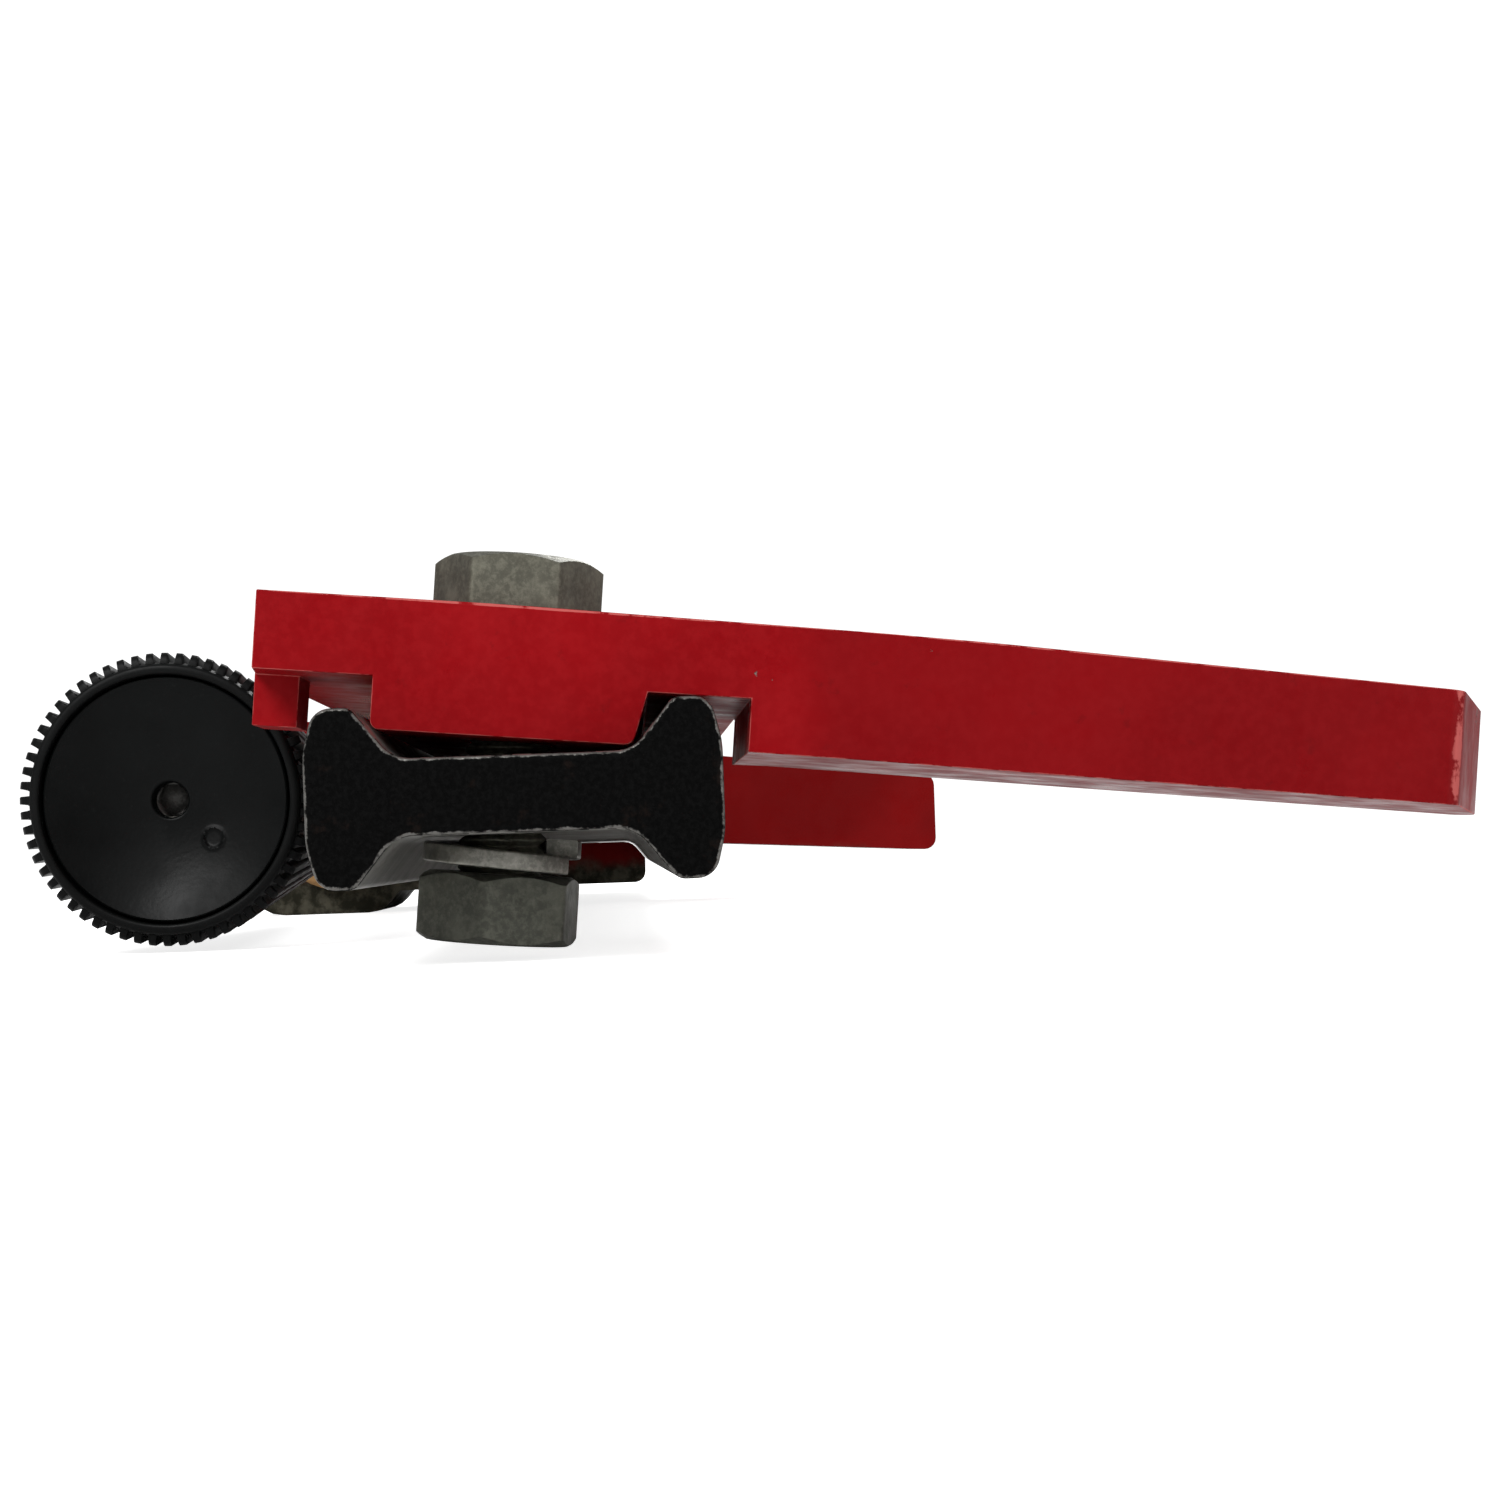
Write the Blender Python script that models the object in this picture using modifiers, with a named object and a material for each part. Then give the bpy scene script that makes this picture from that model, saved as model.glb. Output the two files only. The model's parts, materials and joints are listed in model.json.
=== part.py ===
"""Sliding beam clamp: an I-section rail, a fixed arm bolted across its front end, and a head that
slides along the rail and is driven by a hand-turned spindle beside it.

Frame: metres, +Z up. The rail runs along +Y from its front end face, whose centre is the origin,
and both arms reach out along +X.
"""

import math

import bmesh
import bpy
from mathutils import Matrix, Vector

MM = 0.001

# Rail
RAIL_LENGTH = 400 * MM
RAIL_WIDTH = 44.2 * MM
RAIL_HEIGHT = 19.2 * MM
WEB_THICKNESS = 8.2 * MM
FLANGE_TIP = 3.9 * MM
FLANK_LEAN = 4.4 * MM
SIDE_DRAFT = 1.2 * MM
RAIL_END_BEVEL = 0.5 * MM

# Fixed arm, in its own canted frame whose origin is where the bolt's axis meets the rail's middle
ARM_FRONT = 6 * MM
ARM_DEPTH = 32 * MM
ARM_CANT = math.radians(5.5)
ARM_LEFT = 27.2 * MM
ARM_REACH = 105.5 * MM
ARM_BACK = 8.5 * MM
ARM_TIP_HEIGHT = 12.3 * MM
ARM_FACE_TAPER = 6 * MM
ARM_END_SLANT = 10.4 * MM
FOOT_LENGTH = 112 * MM
THROAT_FILLET = 6 * MM
EAR_SETBACK = 8 * MM
EAR_DEPTH = 8 * MM
EAR_WIDTH = 5 * MM
NOTCH_SIDE_GAP = 3 * MM
CASTING_EDGE = 0.9 * MM

# Arm bolt and its hardware
BOLT_OFFSET = -2.1 * MM
BOLT_DIAMETER = 10 * MM
BOLT_LENGTH = 35 * MM
HEX_ACROSS_FLATS = 17 * MM
BOLT_HEAD_HEIGHT = 6.4 * MM
NUT_HEIGHT = 7.9 * MM
NUT_TURN = math.radians(22.2)
WASHER_OUTER = 18.1 * MM
WASHER_THICKNESS = 2.1 * MM
WASHER_RISE = 1.9 * MM
WASHER_SPLIT = math.radians(14)
WASHER_START = math.radians(-16)

# Moving head
HEAD_FRONT = 258 * MM
HEAD_DEPTH = 38 * MM
HEAD_REACH = 80.2 * MM
HEAD_TIP_HEIGHT = 17 * MM
HEAD_TOP_SLOPE = math.radians(6.7)
HEAD_UNDER_SLOPE = math.radians(3.7)
HEAD_UNDER = 5.2 * MM
HEAD_REAR_TAPER = 12 * MM
LIP_THICKNESS = 3.6 * MM
LIP_END = 15.3 * MM
BOSS_HALF_WIDTH = 22.5 * MM
BOSS_HALF_HEIGHT = 21.2 * MM

# Spindle, bush and handle
SPINDLE_OFFSET = 51.7 * MM
SPINDLE_HEIGHT = 2.8 * MM
SPINDLE_RADIUS = 8 * MM
TANG_RADIUS = 6 * MM
BUSH_RADIUS = 12 * MM
BUSH_FLANGE_RADIUS = 16 * MM
BUSH_FLANGE = 4 * MM
SET_SCREW_RADIUS = 3 * MM
HANDLE_FRONT = 71 * MM
HANDLE_LENGTH = 115 * MM
HANDLE_RADIUS = 20.4 * MM
HANDLE_NECK_RADIUS = 12 * MM
RIB_COUNT = 60
RIB_DEPTH = 1.4 * MM
CAP_RADIUS = 16.9 * MM
CAP_DEPTH = 6 * MM
CAP_DISH = 3.4 * MM
CAP_HOLE_RADIUS = 2.45 * MM
FERRULE_RADIUS = 11 * MM
FERRULE_LENGTH = 8 * MM
HANDLE_PIN_RADIUS = 2 * MM

# Thrust shoe
SHOE_DEPTH = 12 * MM
SHOE_WALL = 12 * MM
SHOE_TOP = 7 * MM
GRIP_PLATE = 10 * MM
GRIP_PLATE_THICKNESS = 3 * MM
THRUST_WASHER = 2 * MM
RING_THICKNESS = 1.2 * MM

# Rail stop pin and drag spring
STOP_PIN_RADIUS = 3 * MM
STOP_PIN_INSET = 8 * MM
SPRING_LENGTH = 26 * MM
SPRING_THICKNESS = 0.6 * MM
SPRING_BOW = 1.0 * MM

# Clearances
GAP = 0.3 * MM
SLIDE_GAP = 0.5 * MM
HOLE_GAP = 0.6 * MM
RAIL_HOLE_GAP = 1.25 * MM
KEY_GAP = 0.8 * MM

# Fineness
ARC_STEP = math.radians(20)
TURN_STEPS = 40

# Places that follow from the sizes above
BOLT_Y = ARM_FRONT + ARM_DEPTH / 2
FLANGE_OUTER = RAIL_WIDTH / 2 - SIDE_DRAFT
FLANGE_INNER = FLANGE_OUTER - FLANGE_TIP
GROOVE_HALF = FLANGE_INNER - FLANK_LEAN
HEAD_BACK = HEAD_FRONT + HEAD_DEPTH
HANDLE_BACK = HANDLE_FRONT + HANDLE_LENGTH
SHOULDER = HEAD_BACK + 2 * GAP
SHOE_FRONT = SHOULDER + THRUST_WASHER + 2 * GAP
SHOE_BACK = SHOE_FRONT + SHOE_DEPTH
LIP_BOTTOM = -RAIL_HEIGHT / 2 - SLIDE_GAP - LIP_THICKNESS
AXIS = Vector((-SPINDLE_OFFSET, 0, SPINDLE_HEIGHT))

STEEL = ("steel", (0.42, 0.42, 0.40), 0.42, 1.0)
BLACKENED = ("blackened_steel", (0.03, 0.03, 0.032), 0.55, 0.6)
RED_PAINT = ("red_paint", (0.42, 0.012, 0.018), 0.35, 0.0)
BLACK_PLASTIC = ("black_plastic", (0.012, 0.014, 0.014), 0.45, 0.0)
BRONZE = ("bronze", (0.45, 0.27, 0.12), 0.4, 1.0)


def clear_scene():
    for obj in list(bpy.data.objects):
        bpy.data.objects.remove(obj, do_unlink=True)


def new_collection(name, hidden=False):
    collection = bpy.data.collections.new(name)
    collection.hide_render = hidden
    bpy.context.scene.collection.children.link(collection)
    return collection


def finish_of(look):
    """The Principled material of a (name, colour, roughness, metallic) tuple, made once."""
    name, colour, roughness, metallic = look
    material = bpy.data.materials.get(name)
    if material is None:
        material = bpy.data.materials.new(name)
        material.use_nodes = True
        shader = material.node_tree.nodes["Principled BSDF"]
        shader.inputs["Base Color"].default_value = (*colour, 1)
        shader.inputs["Roughness"].default_value = roughness
        shader.inputs["Metallic"].default_value = metallic
        material.diffuse_color = (*colour, 1)
    return material


# Outlines


def rounded(corners):
    """Corners (x, y, radius) to points: each corner becomes an arc tangent to both of its sides."""
    points = []
    for index, (x, y, radius) in enumerate(corners):
        here = Vector((x, y))
        back = Vector(corners[index - 1][:2]) - here
        ahead = Vector(corners[(index + 1) % len(corners)][:2]) - here
        turn = math.pi - back.angle(ahead)
        if radius <= 0 or turn < math.radians(0.5):
            points.append((x, y))
            continue
        reach = min(radius * math.tan(turn / 2), 0.49 * back.length, 0.49 * ahead.length)
        radius = reach / math.tan(turn / 2)
        side = 1 if back.cross(ahead) < 0 else -1
        inward = (back.normalized() + ahead.normalized()).normalized()
        centre = here + inward * (radius / math.cos(turn / 2))
        start = here + back.normalized() * reach - centre
        pieces = max(1, math.ceil(turn / ARC_STEP))
        for piece in range(pieces + 1):
            spoke = Matrix.Rotation(side * turn * piece / pieces, 2) @ start
            points.append(tuple(centre + spoke))
    return points


def grown(corners, distance):
    """The corners of an anticlockwise outline moved outwards by a distance, with radii to match."""
    result = []
    for index, (x, y, radius) in enumerate(corners):
        here = Vector((x, y))
        before = (here - Vector(corners[index - 1][:2])).normalized()
        after = (Vector(corners[(index + 1) % len(corners)][:2]) - here).normalized()
        normal_before = Vector((before.y, -before.x))
        normal_after = Vector((after.y, -after.x))
        middle = (normal_before + normal_after).normalized()
        moved = here + middle * (distance / middle.dot(normal_before))
        convex = before.cross(after) > 0
        result.append((moved.x, moved.y, max(0, radius + (distance if convex else -distance))))
    return result


def rail_corners():
    """The rail's section, anticlockwise from the right flange's upper side."""
    half = RAIL_HEIGHT / 2
    quarter = [
        (RAIL_WIDTH / 2, half * 0.5, 10 * MM),
        (FLANGE_OUTER, half, 2.4 * MM),
        (FLANGE_INNER, half, 1.6 * MM),
        (GROOVE_HALF, WEB_THICKNESS / 2, 4 * MM),
    ]
    left = [(-x, z, radius) for x, z, radius in reversed(quarter)]
    top = quarter + left
    return top + [(-x, -z, radius) for x, z, radius in top]


def in_arm(x, z):
    """A point of the rail's section, in the arm's canted frame."""
    x -= BOLT_OFFSET
    cosine, sine = math.cos(ARM_CANT), math.sin(ARM_CANT)
    return cosine * x - sine * z, sine * x + cosine * z


# Solids


def add_mesh(name, mesh, look=None, collection=None):
    obj = bpy.data.objects.new(name, mesh)
    if look is None:
        obj.hide_render = True
        obj.display_type = "WIRE"
    else:
        mesh.materials.append(finish_of(look))
    (collection or (PARTS if look else CUTTERS)).objects.link(obj)
    return obj


def from_bmesh(name, work, look=None):
    mesh = bpy.data.meshes.new(name)
    work.to_mesh(mesh)
    work.free()
    return add_mesh(name, mesh, look)


def slab(name, outline, low, high, along, look=None):
    """A flat outline extruded from low to high: an (x, z) outline along Y, an (x, y) one along Z."""
    curve = bpy.data.curves.new(name, "CURVE")
    curve.dimensions = "2D"
    curve.fill_mode = "BOTH"
    curve.extrude = (high - low) / 2
    spline = curve.splines.new("POLY")
    spline.points.add(len(outline) - 1)
    for point, (a, b) in zip(spline.points, outline):
        point.co = (a, b, 0, 1)
    spline.use_cyclic_u = True
    flat = bpy.data.objects.new(name + "_outline", curve)
    middle = (low + high) / 2
    if along == "Y":
        flat.rotation_euler.x = math.pi / 2
        flat.location.y = middle
    else:
        flat.location.z = middle
    CUTTERS.objects.link(flat)
    bpy.context.view_layer.update()
    graph = bpy.context.evaluated_depsgraph_get()
    mesh = bpy.data.meshes.new_from_object(flat.evaluated_get(graph))
    mesh.transform(flat.matrix_world)
    bpy.data.objects.remove(flat, do_unlink=True)
    work = bmesh.new()
    work.from_mesh(mesh)
    bpy.data.meshes.remove(mesh)
    bmesh.ops.remove_doubles(work, verts=work.verts, dist=0.001 * MM)
    bmesh.ops.dissolve_limit(
        work, angle_limit=math.radians(0.1), verts=work.verts, edges=work.edges
    )
    bmesh.ops.recalc_face_normals(work, faces=work.faces)
    return from_bmesh(name, work, look)


def turned(name, profile, look=None, closed=False, steps=TURN_STEPS):
    """A profile of (radius, height) points, run down its outer side, turned about Z."""
    mesh = bpy.data.meshes.new(name)
    count = len(profile)
    edges = [(index, index + 1) for index in range(count - 1)]
    if closed:
        edges.append((count - 1, 0))
    mesh.from_pydata([(radius, 0, height) for radius, height in profile], edges, [])
    obj = add_mesh(name, mesh, look)
    screw = obj.modifiers.new("turn", "SCREW")
    screw.axis = "Z"
    screw.steps = steps
    screw.render_steps = steps
    screw.use_merge_vertices = True
    screw.merge_threshold = 0.01 * MM
    return obj


def rod(name, radius, low, high, look=None, chamfer=0.0, steps=TURN_STEPS):
    """A round bar along Z with chamfered ends."""
    profile = [(0, high), (radius, high), (radius, low), (0, low)]
    if chamfer:
        profile[1:3] = [
            (radius - chamfer, high),
            (radius, high - chamfer),
            (radius, low + chamfer),
            (radius - chamfer, low),
        ]
    return turned(name, profile, look, steps=steps)


def ring_profile(inner, outer, low, high, chamfer=0.0):
    """A closed ring section with chamfered outer corners."""
    return [
        (inner, high),
        (outer - chamfer, high),
        (outer, high - chamfer),
        (outer, low + chamfer),
        (outer - chamfer, low),
        (inner, low),
    ] if chamfer else [(inner, high), (outer, high), (outer, low), (inner, low)]


def box(name, low, high, look=None):
    work = bmesh.new()
    size = Vector(high) - Vector(low)
    middle = (Vector(high) + Vector(low)) / 2
    place = Matrix.Translation(middle) @ Matrix.Diagonal((*size, 1))
    bmesh.ops.create_cube(work, size=1, matrix=place)
    return from_bmesh(name, work, look)


def hexagon(name, low, high, look=None, turn=0.0):
    """A hexagonal bar along Z: two flats face -Y and +Y, or are turned from there."""
    corner = HEX_ACROSS_FLATS / math.sqrt(3)
    work = bmesh.new()
    place = Matrix.Translation((0, 0, (low + high) / 2)) @ Matrix.Rotation(math.pi / 6 + turn, 4, "Z")
    bmesh.ops.create_cone(
        work, cap_ends=True, segments=6, radius1=corner, radius2=corner, depth=high - low, matrix=place
    )
    return from_bmesh(name, work, look)


def combine(obj, operation, cutter):
    """A live Boolean of the object with a helper, both in one frame."""
    modifier = obj.modifiers.new(cutter.name, "BOOLEAN")
    modifier.operation = operation
    modifier.object = cutter
    modifier.solver = "EXACT"
    return modifier


def soften(obj, width, segments=2, angle=40):
    bevel = obj.modifiers.new("edges", "BEVEL")
    bevel.width = width
    bevel.segments = segments
    bevel.limit_method = "ANGLE"
    bevel.angle_limit = math.radians(angle)
    bevel.use_clamp_overlap = True


def lay_along_rail(obj, place):
    """Turns a piece made about Z so that its Z runs along +Y, and puts it at a place."""
    obj.rotation_euler.x = -math.pi / 2
    obj.location = place


def smooth(obj, angle=35):
    obj.data.shade_smooth()
    if obj.data.polygons:
        obj.data.set_sharp_from_angle(angle=math.radians(angle))


# Rail


def make_rail():
    rail = slab("rail", rounded(rail_corners()), 0, RAIL_LENGTH, "Y", STEEL)
    soften(rail, RAIL_END_BEVEL, segments=1, angle=60)
    bolt_hole = rod(
        "rail_bolt_hole", BOLT_DIAMETER / 2 + RAIL_HOLE_GAP, -RAIL_HEIGHT, RAIL_HEIGHT, steps=28
    )
    bolt_hole.location = (BOLT_OFFSET, BOLT_Y, 0)
    pin_hole = rod("rail_pin_hole", STOP_PIN_RADIUS + GAP, -RAIL_HEIGHT, RAIL_HEIGHT, steps=24)
    pin_hole.location = (0, RAIL_LENGTH - STOP_PIN_INSET, 0)
    combine(rail, "DIFFERENCE", bolt_hole)
    combine(rail, "DIFFERENCE", pin_hole)
    return rail


def make_stop_pin():
    """The cross pin near the rail's rear end, which stands into both grooves and stops the shoe."""
    half = RAIL_HEIGHT / 2 - MM
    pin = rod("rail_stop_pin", STOP_PIN_RADIUS, -half, half, STEEL, chamfer=0.5 * MM, steps=24)
    pin.location = (0, RAIL_LENGTH - STOP_PIN_INSET, 0)
    return pin


# Fixed arm and its bolt


def arm_levels():
    """Heights in the arm's frame: the notches' ceiling, the key's underside, and the top."""
    ceiling = in_arm(FLANGE_OUTER, RAIL_HEIGHT / 2 + GAP)[1]
    under = in_arm(GROOVE_HALF, WEB_THICKNESS / 2 + KEY_GAP)[1]
    return ceiling, under, ceiling + ARM_BACK


def arm_profile():
    """The arm seen from its front: a bar with two notches that straddle the rail's upper tips."""
    ceiling, under, top = arm_levels()
    flank = (FLANGE_INNER - GROOVE_HALF) / (RAIL_HEIGHT / 2 - WEB_THICKNESS / 2)
    key_left = in_arm(-FLANGE_INNER + KEY_GAP + flank * MM, RAIL_HEIGHT / 2)[0]
    key_right = in_arm(GROOVE_HALF, WEB_THICKNESS / 2)[0]
    wall = in_arm(RAIL_WIDTH / 2 + NOTCH_SIDE_GAP, WEB_THICKNESS / 2)[0]
    tip = ARM_REACH + 2 * ARM_END_SLANT
    corners = [
        (-2 * ARM_LEFT, ceiling, 0),
        (key_left, ceiling, 0),
        (key_left, under, 1 * MM),
        (key_right, under, 1.2 * MM),
        (key_right + flank * 1.6 * MM, ceiling, 0),
        (wall, ceiling, 0),
        (wall, under, 0),
        (tip, under - MM, 0),
        (tip, under - MM + ARM_TIP_HEIGHT, 0),
        (ARM_REACH * 0.5, top - 0.8 * MM, 300 * MM),
        (0, top, 300 * MM),
        (-2 * ARM_LEFT, top, 0),
    ]
    return rounded(corners)


def arm_plan():
    """The arm seen from above: the tapering jaw with its slanted end, and the foot along the rail."""
    front = -ARM_DEPTH / 2
    back = ARM_DEPTH / 2
    wall = in_arm(RAIL_WIDTH / 2 + NOTCH_SIDE_GAP, WEB_THICKNESS / 2)[0]
    foot_back = front + FOOT_LENGTH
    slant_side = back - 4 * MM
    corners = [
        (-ARM_LEFT, front, 0),
        (wall + 13 * MM, front, 40 * MM),
        (ARM_REACH, front + ARM_FACE_TAPER, 2.5 * MM),
        (ARM_REACH + ARM_END_SLANT, slant_side, 3 * MM),
        (ARM_REACH + ARM_END_SLANT - MM, back, 0),
        (wall, back, THROAT_FILLET),
        (wall, foot_back, 2 * MM),
        (-ARM_LEFT - MM, foot_back, 2 * MM),
        (-ARM_LEFT - MM, front + EAR_SETBACK, 0),
    ]
    return rounded(corners)


def make_fixed_arm():
    ceiling, under, top = arm_levels()
    half = ARM_DEPTH / 2
    arm = slab("fixed_arm", arm_profile(), -half - 9 * MM, FOOT_LENGTH, "Y", RED_PAINT)
    plan = slab("arm_plan", arm_plan(), -RAIL_HEIGHT, 2 * RAIL_HEIGHT, "Z")
    ear = box(
        "arm_ear",
        (-1.5 * ARM_LEFT, -half + EAR_SETBACK, under),
        (-ARM_LEFT - MM + EAR_WIDTH, -half + EAR_SETBACK + EAR_DEPTH, ceiling + 2 * MM),
    )
    hole = rod("arm_bolt_hole", BOLT_DIAMETER / 2 + HOLE_GAP, -RAIL_HEIGHT, 2 * top, steps=28)
    combine(arm, "UNION", ear)
    combine(arm, "INTERSECT", plan)
    soften(arm, CASTING_EDGE, segments=3)
    combine(arm, "DIFFERENCE", hole)
    for piece in (arm, plan, ear, hole):
        piece.location = (BOLT_OFFSET, BOLT_Y, 0)
        piece.rotation_euler.y = ARM_CANT
    return arm


def hex_chamfer(name, low, high, lower, upper):
    """The turned body that trims a hexagon's corners at the ends that ask for it."""
    corner = HEX_ACROSS_FLATS / math.sqrt(3) + 0.2 * MM
    flat = HEX_ACROSS_FLATS / 2 * 0.96
    drop = (corner - flat) * math.tan(math.radians(30))
    profile = [(0, high)]
    profile += [(flat, high), (corner, high - drop)] if upper else [(corner, high)]
    profile += [(corner, low + drop), (flat, low)] if lower else [(corner, low)]
    profile.append((0, low))
    return turned(name, profile, steps=36)


def make_arm_bolt():
    seat = arm_levels()[2] + GAP
    bolt = hexagon("arm_bolt", seat, seat + BOLT_HEAD_HEIGHT, STEEL)
    trim = hex_chamfer("bolt_trim", seat, seat + BOLT_HEAD_HEIGHT, False, True)
    shank = rod(
        "bolt_shank", BOLT_DIAMETER / 2, seat - BOLT_LENGTH, seat + MM, chamfer=0.8 * MM, steps=32
    )
    combine(bolt, "INTERSECT", trim)
    combine(bolt, "UNION", shank)
    return [bolt, trim, shank]


def washer_levels():
    """Top of the washer's high end and of its low end, along the bolt, under the rail's web."""
    edge = BOLT_OFFSET - WASHER_OUTER / 2
    high = in_arm(edge, -WEB_THICKNESS / 2)[1] + WASHER_RISE / 2 - GAP
    return high, high - WASHER_RISE


def make_spring_washer():
    """A split ring: a rectangular section carried round a short helix, closed at both cuts."""
    high, low = washer_levels()
    inner = BOLT_DIAMETER / 2 + GAP
    outer = WASHER_OUTER / 2
    under = high - WASHER_THICKNESS
    section = [(inner, high), (outer, high), (outer, under), (inner, under)]
    mesh = bpy.data.meshes.new("washer_section")
    mesh.from_pydata([(r, 0, z) for r, z in section], [(0, 1), (1, 2), (2, 3), (3, 0)], [])
    helix = add_mesh("washer_helix", mesh)
    screw = helix.modifiers.new("turn", "SCREW")
    screw.axis = "Z"
    screw.angle = math.tau - WASHER_SPLIT
    screw.screw_offset = low - high
    screw.steps = TURN_STEPS
    screw.render_steps = TURN_STEPS
    screw.use_merge_vertices = False
    bpy.context.view_layer.update()
    graph = bpy.context.evaluated_depsgraph_get()
    whole = bpy.data.meshes.new_from_object(helix.evaluated_get(graph))
    bpy.data.objects.remove(helix, do_unlink=True)
    work = bmesh.new()
    work.from_mesh(whole)
    bpy.data.meshes.remove(whole)
    bmesh.ops.holes_fill(work, edges=work.edges, sides=4)
    bmesh.ops.recalc_face_normals(work, faces=work.faces)
    bmesh.ops.rotate(work, verts=work.verts, matrix=Matrix.Rotation(WASHER_START, 3, "Z"))
    return from_bmesh("arm_spring_washer", work, STEEL)


def make_arm_nut():
    top = washer_levels()[1] - WASHER_THICKNESS - GAP
    nut = hexagon("arm_nut", top - NUT_HEIGHT, top, STEEL, NUT_TURN)
    trim = hex_chamfer("nut_trim", top - NUT_HEIGHT, top, True, True)
    bore = rod("nut_bore", BOLT_DIAMETER / 2 + GAP, -4 * RAIL_HEIGHT, RAIL_HEIGHT, steps=32)
    combine(nut, "INTERSECT", trim)
    combine(nut, "DIFFERENCE", bore)
    return [nut, trim, bore]


def make_arm_fastening():
    for piece in make_arm_bolt() + [make_spring_washer()] + make_arm_nut():
        piece.location = (BOLT_OFFSET, BOLT_Y, 0)
        piece.rotation_euler.y = ARM_CANT


# Moving head


def head_profile():
    """The head seen from its front: boss, hook under the left flange, and the arm above the right."""
    slope_top, slope_under = math.tan(HEAD_TOP_SLOPE), math.tan(HEAD_UNDER_SLOPE)
    under_start = RAIL_WIDTH / 2 + NOTCH_SIDE_GAP
    tip_under = -HEAD_UNDER - (HEAD_REACH - under_start) * slope_under
    tip_top = tip_under + HEAD_TIP_HEIGHT
    left = -SPINDLE_OFFSET - BOSS_HALF_WIDTH
    boss_bottom = SPINDLE_HEIGHT - BOSS_HALF_HEIGHT
    corners = [
        (HEAD_REACH, tip_under, 2.5 * MM),
        (HEAD_REACH, tip_top, 3 * MM),
        (left, tip_top + (HEAD_REACH - left) * slope_top, 9 * MM),
        (left, boss_bottom, 9 * MM),
        (-SPINDLE_OFFSET + BOSS_HALF_WIDTH * 0.36, boss_bottom, 12 * MM),
        (-SPINDLE_OFFSET + BOSS_HALF_WIDTH * 0.54, LIP_BOTTOM, 0),
        (LIP_END, LIP_BOTTOM, 2.4 * MM),
        (LIP_END, -HEAD_UNDER, 0),
        (under_start, -HEAD_UNDER, 0),
    ]
    return rounded(corners)


def head_plan():
    """The head seen from above: square across the rail, its arm thinned from behind to the tip."""
    left = -SPINDLE_OFFSET - BOSS_HALF_WIDTH - MM
    corners = [
        (left, HEAD_FRONT, 0),
        (HEAD_REACH + MM, HEAD_FRONT, 0),
        (HEAD_REACH + MM, HEAD_BACK - HEAD_REAR_TAPER, 6 * MM),
        (RAIL_WIDTH / 2 + NOTCH_SIDE_GAP, HEAD_BACK, 12 * MM),
        (left, HEAD_BACK, 0),
    ]
    return rounded(corners)


def rail_clearance(name, low, high):
    return slab(name, rounded(grown(rail_corners(), SLIDE_GAP)), low, high, "Y")


def spring_pocket_side():
    """X of the drag spring pocket's floor in the head, left of the rail."""
    return -RAIL_WIDTH / 2 - SLIDE_GAP - SPRING_THICKNESS - SPRING_BOW - GAP


def make_moving_head():
    head = slab("moving_head", head_profile(), HEAD_FRONT - MM, HEAD_BACK + MM, "Y", RED_PAINT)
    plan = slab("head_plan", head_plan(), -2 * RAIL_HEIGHT, 2 * RAIL_HEIGHT, "Z")
    window = rail_clearance("head_window", HEAD_FRONT - 9 * MM, HEAD_BACK + 9 * MM)
    bore = rod("head_bore", BUSH_RADIUS + GAP, HEAD_FRONT - 9 * MM, HEAD_BACK + 9 * MM)
    lay_along_rail(bore, AXIS)
    screw_hole = rod("head_screw_hole", SET_SCREW_RADIUS + GAP, 0, 3 * RAIL_HEIGHT, steps=24)
    screw_hole.location = (AXIS.x, (HEAD_FRONT + HEAD_BACK) / 2, AXIS.z)
    middle = (HEAD_FRONT + HEAD_BACK) / 2
    pocket = box(
        "spring_pocket",
        (spring_pocket_side(), middle - SPRING_LENGTH / 2 - MM, -RAIL_HEIGHT / 4),
        (-RAIL_WIDTH / 2, middle + SPRING_LENGTH / 2 + MM, RAIL_HEIGHT / 4),
    )
    combine(head, "INTERSECT", plan)
    soften(head, CASTING_EDGE, segments=3)
    for cutter in (window, bore, screw_hole, pocket):
        combine(head, "DIFFERENCE", cutter)
    return head


def make_spindle_bush():
    """The flanged nut in the boss. Its bore is plain and clears the spindle's thread crests."""
    inner = SPINDLE_RADIUS + GAP
    back = HEAD_BACK
    flange_back = HEAD_FRONT - GAP
    profile = [
        (inner, back),
        (BUSH_RADIUS, back),
        (BUSH_RADIUS, flange_back),
        (BUSH_FLANGE_RADIUS, flange_back),
        (BUSH_FLANGE_RADIUS, flange_back - BUSH_FLANGE + 0.8 * MM),
        (BUSH_FLANGE_RADIUS - 0.8 * MM, flange_back - BUSH_FLANGE),
        (inner, flange_back - BUSH_FLANGE),
    ]
    bush = turned("spindle_bush", profile, BRONZE, closed=True)
    lay_along_rail(bush, AXIS)
    return bush


def make_set_screw():
    """The grub screw that stops the bush from turning, down the top of the boss."""
    low = BUSH_RADIUS + GAP
    high = low + 8 * MM
    screw = rod("bush_set_screw", SET_SCREW_RADIUS, low, high, STEEL, chamfer=0.4 * MM, steps=24)
    socket = rod("set_screw_socket", SET_SCREW_RADIUS / 2, high - 3 * MM, high + MM, steps=6)
    combine(screw, "DIFFERENCE", socket)
    for piece in (screw, socket):
        piece.location = (AXIS.x, (HEAD_FRONT + HEAD_BACK) / 2, AXIS.z)
    return screw


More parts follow.
